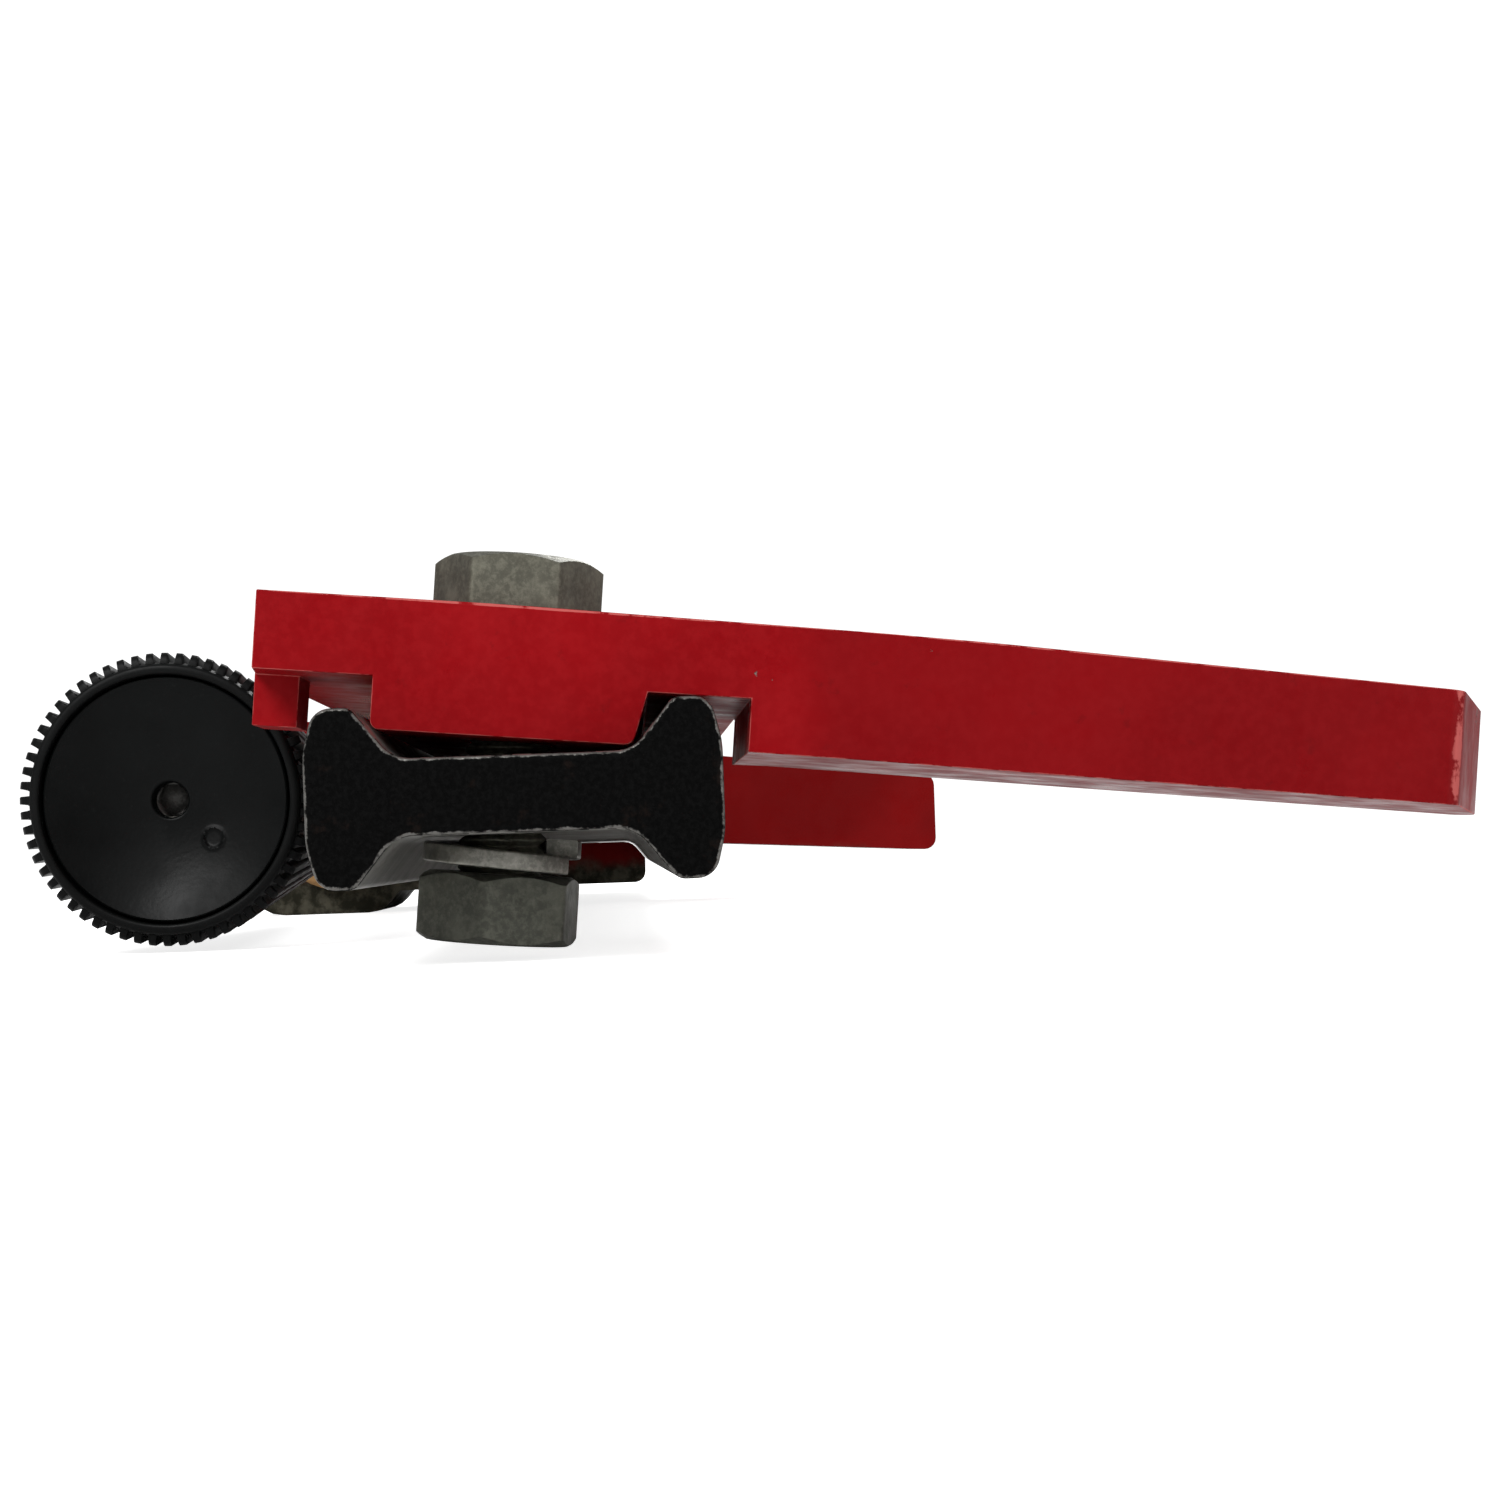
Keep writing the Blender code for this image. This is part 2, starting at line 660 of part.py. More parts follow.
def make_slide_spring():
    """A bowed leaf between the head and the rail's side, which holds the head where it is put."""
    half = SPRING_LENGTH / 2
    radius = (half**2 + SPRING_BOW**2) / (2 * SPRING_BOW)
    sweep = math.asin(half / radius)
    steps = 10
    angles = [sweep * (2 * step / steps - 1) for step in range(steps + 1)]
    inside = spring_pocket_side() + GAP
    outer = [
        (inside + SPRING_BOW - radius * (1 - math.cos(a)) + SPRING_THICKNESS, radius * math.sin(a))
        for a in angles
    ]
    inner = [(x - SPRING_THICKNESS, y) for x, y in reversed(outer)]
    spring = slab("slide_spring", outer + inner, -RAIL_HEIGHT / 4 + MM, RAIL_HEIGHT / 4 - MM, "Z", STEEL)
    spring.location.y = (HEAD_FRONT + HEAD_BACK) / 2
    return spring


# Thrust shoe


def shoe_profile():
    """The shoe seen from its front: the spindle's eye and a hook round the rail's left flange."""
    eye = TANG_RADIUS + SHOE_WALL
    top = RAIL_HEIGHT / 2 + SHOE_TOP
    bottom = LIP_BOTTOM + 0.5 * MM
    corners = [
        (RAIL_WIDTH / 2 + 3 * MM, -MM, 2 * MM),
        (RAIL_WIDTH / 2 + 3 * MM, top, 4 * MM),
        (-SPINDLE_OFFSET - eye, top + 2 * MM, 12 * MM),
        (-SPINDLE_OFFSET - eye, bottom, 12 * MM),
        (GROOVE_HALF - MM, bottom, 2 * MM),
        (GROOVE_HALF - MM, -MM, 0),
    ]
    return rounded(corners)


def grip_plate_box(gap):
    """Corners of the grip plate beside the rail, or of its pocket when a gap is given."""
    right = -RAIL_WIDTH / 2 - SLIDE_GAP
    low = (right - GRIP_PLATE_THICKNESS - gap, SHOE_FRONT + MM - gap, -GRIP_PLATE / 2 - gap)
    high = (right + 5 * gap, SHOE_BACK - MM + gap, GRIP_PLATE / 2 + gap)
    return low, high


def make_thrust_shoe():
    shoe = slab("thrust_shoe", shoe_profile(), SHOE_FRONT, SHOE_BACK, "Y", STEEL)
    soften(shoe, CASTING_EDGE)
    window = rail_clearance("shoe_window", SHOE_FRONT - 9 * MM, SHOE_BACK + 9 * MM)
    eye = rod("shoe_eye", TANG_RADIUS + GAP, SHOE_FRONT - 9 * MM, SHOE_BACK + 9 * MM)
    lay_along_rail(eye, AXIS)
    pocket = box("grip_plate_pocket", *grip_plate_box(GAP))
    for cutter in (window, eye, pocket):
        combine(shoe, "DIFFERENCE", cutter)
    return shoe


def make_grip_plate():
    plate = box("shoe_grip_plate", *grip_plate_box(0), look=STEEL)
    soften(plate, 0.4 * MM, segments=1)
    return plate


# Spindle and handle


def make_thrust_washer():
    front = SHOULDER + GAP
    profile = ring_profile(
        TANG_RADIUS + GAP, SPINDLE_RADIUS + 3 * MM, front, front + THRUST_WASHER, 0.3 * MM
    )
    washer = turned("thrust_washer", profile, STEEL, closed=True, steps=32)
    lay_along_rail(washer, AXIS)
    return washer


def ring_groove():
    """Start and end along the rail of the retaining ring's groove, behind the shoe."""
    return SHOE_BACK + GAP, SHOE_BACK + RING_THICKNESS + 3 * GAP


def make_spindle():
    """Tang inside the grip, threaded length, and the journal that turns in the shoe."""
    start, end = ring_groove()
    groove_radius = TANG_RADIUS - 1.2 * MM
    tip = end + 2.2 * MM
    tang_end = screw_seat() + 5 * MM + GAP
    thread_start = HANDLE_BACK + GAP + FERRULE_LENGTH + GAP
    profile = [
        (0, tip),
        (TANG_RADIUS - 0.8 * MM, tip),
        (TANG_RADIUS, tip - 0.8 * MM),
        (TANG_RADIUS, end),
        (groove_radius, end),
        (groove_radius, start),
        (TANG_RADIUS, start),
        (TANG_RADIUS, SHOULDER),
        (SPINDLE_RADIUS - 0.8 * MM, SHOULDER),
        (SPINDLE_RADIUS, SHOULDER - 0.8 * MM),
        (SPINDLE_RADIUS, thread_start + 0.8 * MM),
        (SPINDLE_RADIUS - 0.8 * MM, thread_start),
        (TANG_RADIUS, thread_start),
        (TANG_RADIUS, tang_end),
        (0, tang_end),
    ]
    spindle = turned("spindle", profile, STEEL)
    tapped = rod("spindle_tapped_hole", HANDLE_SCREW_RADIUS + GAP, 0, tang_end + 14 * MM, steps=24)
    for piece in (spindle, tapped):
        lay_along_rail(piece, AXIS)
    combine(spindle, "DIFFERENCE", tapped)
    combine(spindle, "DIFFERENCE", pin_cutter("spindle_pin_hole", HANDLE_PIN_RADIUS + GAP))
    return spindle


def pin_cutter(name, radius):
    """A bore across the spindle through the middle of the ferrule."""
    cutter = rod(name, radius, -2 * FERRULE_RADIUS, 2 * FERRULE_RADIUS, steps=20)
    cutter.location = AXIS + Vector((0, HANDLE_BACK + GAP + FERRULE_LENGTH / 2, 0))
    return cutter


def make_retaining_ring():
    """A split ring seated in the spindle's groove."""
    start, end = ring_groove()
    inner = TANG_RADIUS - 1.2 * MM + GAP
    profile = ring_profile(inner, TANG_RADIUS + 2.2 * MM, start + GAP, end - GAP)
    ring = turned("retaining_ring", profile, STEEL, closed=True, steps=32)
    lay_along_rail(ring, AXIS)
    split = box(
        "ring_split",
        (AXIS.x - 1.5 * MM, start - MM, AXIS.z),
        (AXIS.x + 1.5 * MM, end + MM, AXIS.z + TANG_RADIUS * 3),
    )
    combine(ring, "DIFFERENCE", split)
    return ring


HANDLE_SCREW_RADIUS = 3 * MM
SCREW_HEAD_RADIUS = 5 * MM
SCREW_HEAD_HEIGHT = 5 * MM
CAP_RECESS = 0.8 * MM


def screw_seat():
    """Along the rail: the floor inside the grip that the handle screw's head bears on."""
    return HANDLE_FRONT + CAP_RECESS + CAP_DEPTH + GAP + SCREW_HEAD_HEIGHT + GAP


def rib_outline():
    """The grip's section: straight ribs with narrower square grooves between them."""
    points = []
    pitch = math.tau / RIB_COUNT
    for rib in range(RIB_COUNT):
        start = rib * pitch
        for share, radius in (
            (0.04, HANDLE_RADIUS),
            (0.48, HANDLE_RADIUS),
            (0.57, HANDLE_RADIUS - RIB_DEPTH),
            (0.95, HANDLE_RADIUS - RIB_DEPTH),
        ):
            angle = start + share * pitch
            points.append((radius * math.cos(angle), radius * math.sin(angle)))
    return points


def make_handle_grip():
    """The tapered ribbed grip, bored for the cap, the screw's head and the spindle's tang."""
    grip = slab("handle_grip", rib_outline(), HANDLE_FRONT, HANDLE_BACK, "Z", BLACK_PLASTIC)
    middle = (HANDLE_FRONT + HANDLE_BACK) / 2
    for vertex in grip.data.vertices:
        if vertex.co.z > middle:
            vertex.co.x *= HANDLE_NECK_RADIUS / HANDLE_RADIUS
            vertex.co.y *= HANDLE_NECK_RADIUS / HANDLE_RADIUS
    envelope = turned(
        "grip_envelope",
        [
            (0, HANDLE_BACK),
            (HANDLE_NECK_RADIUS - 1.5 * MM, HANDLE_BACK),
            (HANDLE_NECK_RADIUS + 0.3 * MM, HANDLE_BACK - 2 * MM),
            (HANDLE_RADIUS + 0.1 * MM, HANDLE_FRONT + 0.7 * MM),
            (HANDLE_RADIUS - 0.5 * MM, HANDLE_FRONT + 0.1 * MM),
            (HANDLE_RADIUS - RIB_DEPTH, HANDLE_FRONT),
            (0, HANDLE_FRONT),
        ],
        steps=60,
    )
    seat = screw_seat()
    cap_floor = HANDLE_FRONT + CAP_RECESS + CAP_DEPTH + GAP
    bores = turned(
        "grip_bores",
        [
            (0, HANDLE_BACK + MM),
            (TANG_RADIUS + GAP, HANDLE_BACK + MM),
            (TANG_RADIUS + GAP, seat + 5 * MM),
            (HANDLE_SCREW_RADIUS + GAP, seat + 5 * MM),
            (HANDLE_SCREW_RADIUS + GAP, seat),
            (SCREW_HEAD_RADIUS + GAP, seat),
            (SCREW_HEAD_RADIUS + GAP, cap_floor),
            (CAP_RADIUS + GAP, cap_floor),
            (CAP_RADIUS + GAP, HANDLE_FRONT - MM),
            (0, HANDLE_FRONT - MM),
        ],
    )
    combine(grip, "INTERSECT", envelope)
    combine(grip, "DIFFERENCE", bores)
    for piece in (grip, envelope, bores):
        lay_along_rail(piece, AXIS)
    return grip


def make_end_cap():
    """The dished disc in the grip's end, with the key's access hole at its centre."""
    front = HANDLE_FRONT + CAP_RECESS
    rim = CAP_RADIUS - 0.5 * MM
    bowl = (rim**2 + CAP_DISH**2) / (2 * CAP_DISH)
    rings = 7
    dish = []
    for step in range(rings + 1):
        radius = rim + (CAP_HOLE_RADIUS + 0.4 * MM - rim) * step / rings
        depth = CAP_DISH - (bowl - math.sqrt(bowl**2 - radius**2))
        dish.append((radius, front + depth))
    back = front + CAP_DEPTH
    profile = [(CAP_HOLE_RADIUS, back), (CAP_RADIUS, back), (CAP_RADIUS, front + 0.3 * MM)]
    profile += dish
    profile.append((CAP_HOLE_RADIUS, dish[-1][1] + 0.4 * MM))
    cap = turned("handle_end_cap", profile, BLACK_PLASTIC, closed=True)
    lay_along_rail(cap, AXIS)
    return cap


def make_handle_screw():
    """The socket screw that draws the grip onto the spindle's tang."""
    seat = screw_seat()
    head_front = seat - GAP - SCREW_HEAD_HEIGHT
    tip = seat + 5 * MM + GAP + 12 * MM
    profile = [
        (0, tip),
        (HANDLE_SCREW_RADIUS - 0.6 * MM, tip),
        (HANDLE_SCREW_RADIUS, tip - 0.6 * MM),
        (HANDLE_SCREW_RADIUS, seat - GAP),
        (SCREW_HEAD_RADIUS, seat - GAP),
        (SCREW_HEAD_RADIUS, head_front + 0.4 * MM),
        (SCREW_HEAD_RADIUS - 0.4 * MM, head_front),
        (0, head_front),
    ]
    screw = turned("handle_screw", profile, STEEL, steps=32)
    socket = rod("handle_screw_socket", 2.6 * MM, head_front - MM, head_front + 3 * MM, steps=6)
    for piece in (screw, socket):
        lay_along_rail(piece, AXIS)
    combine(screw, "DIFFERENCE", socket)
    return screw


def make_ferrule():
    """The steel collar behind the grip, pinned through the spindle."""
    front = HANDLE_BACK + GAP
    profile = ring_profile(
        TANG_RADIUS + GAP, FERRULE_RADIUS, front, front + FERRULE_LENGTH, 1.2 * MM
    )
    ferrule = turned("handle_ferrule", profile, STEEL, closed=True)
    lay_along_rail(ferrule, AXIS)
    combine(ferrule, "DIFFERENCE", pin_cutter("ferrule_pin_hole", HANDLE_PIN_RADIUS + GAP))
    return ferrule


def make_handle_pin():
    half = FERRULE_RADIUS - 0.6 * MM
    pin = rod("handle_pin", HANDLE_PIN_RADIUS, -half, half, STEEL, chamfer=0.4 * MM, steps=20)
    pin.location = AXIS + Vector((0, HANDLE_BACK + GAP + FERRULE_LENGTH / 2, 0))
    return pin


# Assembly


def gather(name, place, pieces):
    """An empty on a joint's axis, with its pieces as children that keep their places."""
    empty = bpy.data.objects.new(name, None)
    empty.empty_display_size = 10 * MM
    empty.location = place
    PARTS.objects.link(empty)
    bpy.context.view_layer.update()
    for piece in pieces:
        piece.parent = empty
        piece.matrix_parent_inverse = empty.matrix_world.inverted()
    return empty


def main():
    rail = make_rail()
    stop_pin = make_stop_pin()
    arm = make_fixed_arm()
    make_arm_fastening()
    head = [make_moving_head(), make_spindle_bush(), make_set_screw(), make_slide_spring()]
    shoe = [make_thrust_shoe(), make_grip_plate()]
    handle = [
        make_thrust_washer(),
        make_spindle(),
        make_retaining_ring(),
        make_handle_grip(),
        make_end_cap(),
        make_handle_screw(),
        make_ferrule(),
        make_handle_pin(),
    ]
    gather("head_slide_axis", (0, HEAD_FRONT, 0), head)
    gather("shoe_slide_axis", (0, SHOE_FRONT, 0), shoe)
    gather("spindle_axis", AXIS + Vector((0, HANDLE_FRONT, 0)), handle)
    for piece in [rail, stop_pin, arm, *head, *shoe, *handle]:
        smooth(piece)


clear_scene()
PARTS = new_collection("beam_clamp")
CUTTERS = new_collection("cutters", hidden=True)
main()
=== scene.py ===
"""Looks of the sliding beam clamp: red castings on a drawn steel rail, with a ribbed black handle.

Metres, +Z up. The rail runs along +Y from the origin, the arms reach along +X, and the handle's
axis lies beside the rail.
"""

import json
import math

import bmesh
import bpy
import numpy as np
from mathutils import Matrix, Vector

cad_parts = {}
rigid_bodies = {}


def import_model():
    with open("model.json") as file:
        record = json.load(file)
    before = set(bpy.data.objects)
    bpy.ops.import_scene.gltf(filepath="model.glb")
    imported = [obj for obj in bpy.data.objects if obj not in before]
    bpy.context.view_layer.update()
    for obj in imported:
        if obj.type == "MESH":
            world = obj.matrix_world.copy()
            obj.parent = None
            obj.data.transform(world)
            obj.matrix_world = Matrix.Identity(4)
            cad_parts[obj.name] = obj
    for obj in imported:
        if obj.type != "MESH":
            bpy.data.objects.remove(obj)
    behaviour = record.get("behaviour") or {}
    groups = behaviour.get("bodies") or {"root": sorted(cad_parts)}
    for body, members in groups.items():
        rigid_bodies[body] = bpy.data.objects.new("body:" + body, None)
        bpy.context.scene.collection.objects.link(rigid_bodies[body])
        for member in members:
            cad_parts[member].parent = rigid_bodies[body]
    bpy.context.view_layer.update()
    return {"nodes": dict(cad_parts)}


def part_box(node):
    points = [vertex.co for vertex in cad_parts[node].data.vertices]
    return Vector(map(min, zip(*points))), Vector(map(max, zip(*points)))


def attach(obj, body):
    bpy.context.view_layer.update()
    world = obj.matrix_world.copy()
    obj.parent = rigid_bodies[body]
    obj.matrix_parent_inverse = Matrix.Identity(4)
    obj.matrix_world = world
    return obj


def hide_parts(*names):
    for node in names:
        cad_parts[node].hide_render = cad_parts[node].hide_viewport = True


for thing in list(bpy.data.objects):
    bpy.data.objects.remove(thing, do_unlink=True)
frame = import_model()

MM = 0.001
TAU = 2 * math.pi


def where(node):
    """Lowest and highest corner of a node, in millimetres."""
    low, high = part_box(node)
    return np.array(low) / MM, np.array(high) / MM


# Sizes read from the frame, in millimetres
RAIL_HIGH = where("rail")[1]
GRIP_LOW, GRIP_HIGH = where("handle_grip")
CAP_LOW, CAP_HIGH = where("handle_end_cap")
SPINDLE_LOW, SPINDLE_HIGH = where("spindle")
AXIS_X = (GRIP_LOW[0] + GRIP_HIGH[0]) / 2
AXIS_Z = (GRIP_LOW[2] + GRIP_HIGH[2]) / 2
ARM_CANT = math.radians(5.5)
BOLT_X = -2.1
BOLT_Y = 22.0
GRIP_NECK = 12.0
GRIP_RIBS = 60
RIB_DEPTH = 1.4

# Levels of the fasteners along the bolt's own axis, and their shared hexagon, in millimetres
BOLT_SEAT, BOLT_TOP, BOLT_TIP = 20.86, 27.26, -14.03
NUT_LOW, NUT_HIGH = -16.50, -8.60
WASHER_TOP = -4.30
ACROSS_FLATS = 17.0
HEXAGON_CORNER = 9.9
FACE_RADIUS = 8.15
CHAMFER_SLOPE = 0.577
NUT_TURN = math.pi / 6 + math.radians(22.2)


# Places


def along_rail(points):
    """A piece made about its own z, laid with that z along the rail on the spindle's axis."""
    x, y, z = points[..., 0], points[..., 1], points[..., 2]
    return np.stack([x + AXIS_X, z, AXIS_Z - y], -1)


def along_bolt(points):
    """A piece made about its own z, canted with the arm about the rail's direction."""
    x, y, z = points[..., 0], points[..., 1], points[..., 2]
    cosine, sine = math.cos(ARM_CANT), math.sin(ARM_CANT)
    return np.stack([cosine * x + sine * z + BOLT_X, y + BOLT_Y, cosine * z - sine * x], -1)


# Meshes


def quads(rows, columns, ring_rows=False, ring_columns=True):
    """Four-sided faces between neighbours of a grid; a ring joins its last line to its first."""
    r, c = np.meshgrid(
        np.arange(rows if ring_rows else rows - 1),
        np.arange(columns if ring_columns else columns - 1),
        indexing="ij",
    )
    r2, c2 = (r + 1) % rows, (c + 1) % columns
    corners = [r * columns + c, r * columns + c2, r2 * columns + c2, r2 * columns + c]
    return np.stack(corners, -1).reshape(-1, 4)


def piece(name, points, faces, sharp=35, wear=None):
    """A closed mesh from points in millimetres: doubles merged, faces outwards, shaded smooth."""
    mesh = bpy.data.meshes.new(name)
    mesh.from_pydata((np.asarray(points).reshape(-1, 3) * MM), [], faces)
    if wear is not None:
        layer = mesh.attributes.new("wear", "FLOAT", "POINT")
        layer.data.foreach_set("value", np.asarray(wear, np.float32).ravel())
    work = bmesh.new()
    work.from_mesh(mesh)
    bmesh.ops.remove_doubles(work, verts=work.verts, dist=2e-6)
    bmesh.ops.dissolve_degenerate(work, edges=work.edges, dist=1e-6)
    bmesh.ops.recalc_face_normals(work, faces=work.faces)
    work.to_mesh(mesh)
    work.free()
    mesh.shade_smooth()
    mesh.set_sharp_from_angle(angle=math.radians(sharp))
    obj = bpy.data.objects.new(name, mesh)
    bpy.context.scene.collection.objects.link(obj)
    return obj


def skin(node, width=1.0):
    """A cast piece: the node's own surface, merged, with its flats whole and its edges shaded round.

    The wear attribute is one along the middle of each rounded edge and nought on the flats: a
    corner point is worn where every face that meets it is a narrow strip, twice area over
    perimeter being a strip's width.
    """
    mesh = frame["nodes"][node].data.copy()
    mesh.materials.clear()
    work = bmesh.new()
    work.from_mesh(mesh)
    bmesh.ops.remove_doubles(work, verts=work.verts, dist=2e-6)
    bmesh.ops.dissolve_limit(
        work, angle_limit=math.radians(0.6), verts=work.verts, edges=work.edges
    )
    bmesh.ops.recalc_face_normals(work, faces=work.faces)
    layer = work.verts.layers.float.new("wear")
    for vert in work.verts:
        strips = [
            2 * f.calc_area() / max(f.calc_perimeter(), 1e-9) < width * MM for f in vert.link_faces
        ]
        vert[layer] = float(all(strips))
    mesh = bpy.data.meshes.new(node + "_skin")
    work.to_mesh(mesh)
    work.free()
    mesh.shade_smooth()
    mesh.set_sharp_from_angle(angle=math.radians(48))
    obj = bpy.data.objects.new(node + "_skin", mesh)
    bpy.context.scene.collection.objects.link(obj)
    weigh = obj.modifiers.new("weigh", "WEIGHTED_NORMAL")
    weigh.keep_sharp = True
    weigh.weight = 80
    return obj


def place(obj, body, node, slot, *materials):
    """Rides a finished piece on its body in place of a node, with its materials."""
    obj.data.materials.clear()
    for material in materials:
        obj.data.materials.append(material)
    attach(obj, body)
    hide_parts(node)
    return obj


# Turned and threaded shapes


def lathe(radius, height, ring_rows=False):
    """Radius and height, rows of points by columns of angle, turned about z."""
    rows, columns = radius.shape
    angle = np.linspace(0, TAU, columns, endpoint=False)[None, :]
    points = np.stack([radius * np.cos(angle), radius * np.sin(angle), height], -1)
    return points, quads(rows, columns, ring_rows=ring_rows)


def turned(profile, columns=96):
    """A profile of (radius, height) pairs repeated round every angle."""
    profile = np.array(profile, float)
    shape = (len(profile), columns)
    return (
        np.broadcast_to(profile[:, 0:1], shape).copy(),
        np.broadcast_to(profile[:, 1:2], shape).copy(),
    )


def dense(profile, step):
    """The same profile with extra points, none further apart than a step."""
    profile = np.array(profile, float)
    legs = np.linalg.norm(np.diff(profile, axis=0), axis=1)
    counts = np.maximum(1, np.ceil(legs / step).astype(int))
    parts = [
        start + (end - start) * np.linspace(0, 1, count, endpoint=False)[:, None]
        for start, end, count in zip(profile[:-1], profile[1:], counts)
    ]
    return np.concatenate([*parts, profile[-1:]])


def thread_depth(height, angle, lead, crest, flank):
    """Depth of a thread, 0 on its crest and 1 in its root, at a height and an angle.

    The phase is the height in leads less the angle in turns. The crest takes one share of each
    turn, each flank another, and the root the rest.
    """
    phase = (height / lead - angle / TAU) % 1.0
    rise = np.clip((phase - crest) / flank, 0, 1)
    fall = np.clip((1 - phase) / flank, 0, 1)
    return np.minimum(rise, fall)


def hexagon_radius(angle, across_flats, turn=0.0):
    """Distance from a hexagon's centre to its side at an angle, rounded a little at the corners."""
    local = (angle - turn + math.pi / 6) % (math.pi / 3) - math.pi / 6
    plain = across_flats / 2 / np.cos(local)
    corner = across_flats / math.sqrt(3) - 0.12
    return -np.log(np.exp(-plain * 14) + np.exp(-corner * 14)) / 14


def ripple(points, size, seed):
    """A smooth uneven field in -1..1: three crossed sine waves whose length is about the size."""
    shift = np.array([0.7, 1.9, 3.1]) * seed
    turns = np.array([[1.0, 0.35, -0.2], [-0.3, 0.9, 0.5], [0.25, -0.6, 1.1]]) * TAU / size
    waves = np.sin(points @ turns.T + shift)
    return (waves[..., 0] + waves[..., 1] * np.roll(waves, 1, -1)[..., 0] + waves[..., 2]) / 2.2


# Materials


class Finish:
    """A node material built around one Principled shader, with its patterns on Object coordinates."""

    def __init__(self, name, roughness=0.4, metallic=0.0, **settings):
        self.material = bpy.data.materials.new(name)
        self.material.use_nodes = True
        self.tree = self.material.node_tree
        self.shader = self.tree.nodes["Principled BSDF"]
        self.shader.inputs["Roughness"].default_value = roughness
        self.shader.inputs["Metallic"].default_value = metallic
        for key, value in settings.items():
            self.shader.inputs[key.replace("_", " ")].default_value = value
        self.place = self.tree.nodes.new("ShaderNodeTexCoord").outputs["Object"]
        self.height = None

    def link(self, start, end):
        self.tree.links.new(start, end)

    def feed(self, socket, value):
        """Links a socket, or sets a plain number or colour."""
        if hasattr(value, "links"):
            self.link(value, socket)
        else:
            socket.default_value = value

    def mapped(self, scale=(1, 1, 1), turn=(0, 0, 0), shift=(0, 0, 0)):
        node = self.tree.nodes.new("ShaderNodeMapping")
        node.inputs["Scale"].default_value = scale
        node.inputs["Rotation"].default_value = turn
        node.inputs["Location"].default_value = shift
        self.link(self.place, node.inputs["Vector"])
        return node.outputs["Vector"]

    def noise(self, scale, detail=4, roughness=0.55, stretch=(1, 1, 1), turn=(0, 0, 0), shift=(0, 0, 0)):
        node = self.tree.nodes.new("ShaderNodeTexNoise")
        node.inputs["Scale"].default_value = scale
        node.inputs["Detail"].default_value = detail
        node.inputs["Roughness"].default_value = roughness
        self.link(self.mapped(stretch, turn, shift), node.inputs["Vector"])
        return node.outputs["Fac"]

    def axis(self, name):
        node = self.tree.nodes.new("ShaderNodeSeparateXYZ")
        self.link(self.place, node.inputs[0])
        return node.outputs[name]

    def attribute(self, name):
        node = self.tree.nodes.new("ShaderNodeAttribute")
        node.attribute_name = name
        return node.outputs["Fac"]

    def spread(self, value, low, high, to_low=0.0, to_high=1.0, smooth=True):
        node = self.tree.nodes.new("ShaderNodeMapRange")
        node.interpolation_type = "SMOOTHSTEP" if smooth else "LINEAR"
        keys = ("From Min", "From Max", "To Min", "To Max")
        for key, number in zip(keys, (low, high, to_low, to_high)):
            node.inputs[key].default_value = number
        self.link(value, node.inputs["Value"])
        return node.outputs["Result"]

    def sum(self, a, b, operation="ADD"):
        node = self.tree.nodes.new("ShaderNodeMath")
        node.operation = operation
        self.feed(node.inputs[0], a)
        self.feed(node.inputs[1], b)
        return node.outputs[0]

    def mix(self, share, a, b):
        node = self.tree.nodes.new("ShaderNodeMix")
        node.data_type = "RGBA"
        self.feed(node.inputs["Factor"], share)
        for socket, value in ((node.inputs[6], a), (node.inputs[7], b)):
            self.feed(socket, value if hasattr(value, "links") else (*value, 1))
        return node.outputs[2]

    def bump(self, value, distance, strength=1.0):
        """Adds a height field over the ones already there; distance is in metres."""
        node = self.tree.nodes.new("ShaderNodeBump")
        node.inputs["Distance"].default_value = distance
        node.inputs["Strength"].default_value = strength
        self.link(value, node.inputs["Height"])
        if self.height is not None:
            self.link(self.height, node.inputs["Normal"])
        self.height = node.outputs["Normal"]

    def done(self, colour, roughness=None, metallic=None):
        self.feed(self.shader.inputs["Base Color"], colour if hasattr(colour, "links") else (*colour, 1))
        if roughness is not None:
            self.link(roughness, self.shader.inputs["Roughness"])
        if metallic is not None:
            self.link(metallic, self.shader.inputs["Metallic"])
        if self.height is not None:
            self.link(self.height, self.shader.inputs["Normal"])
        return self.material


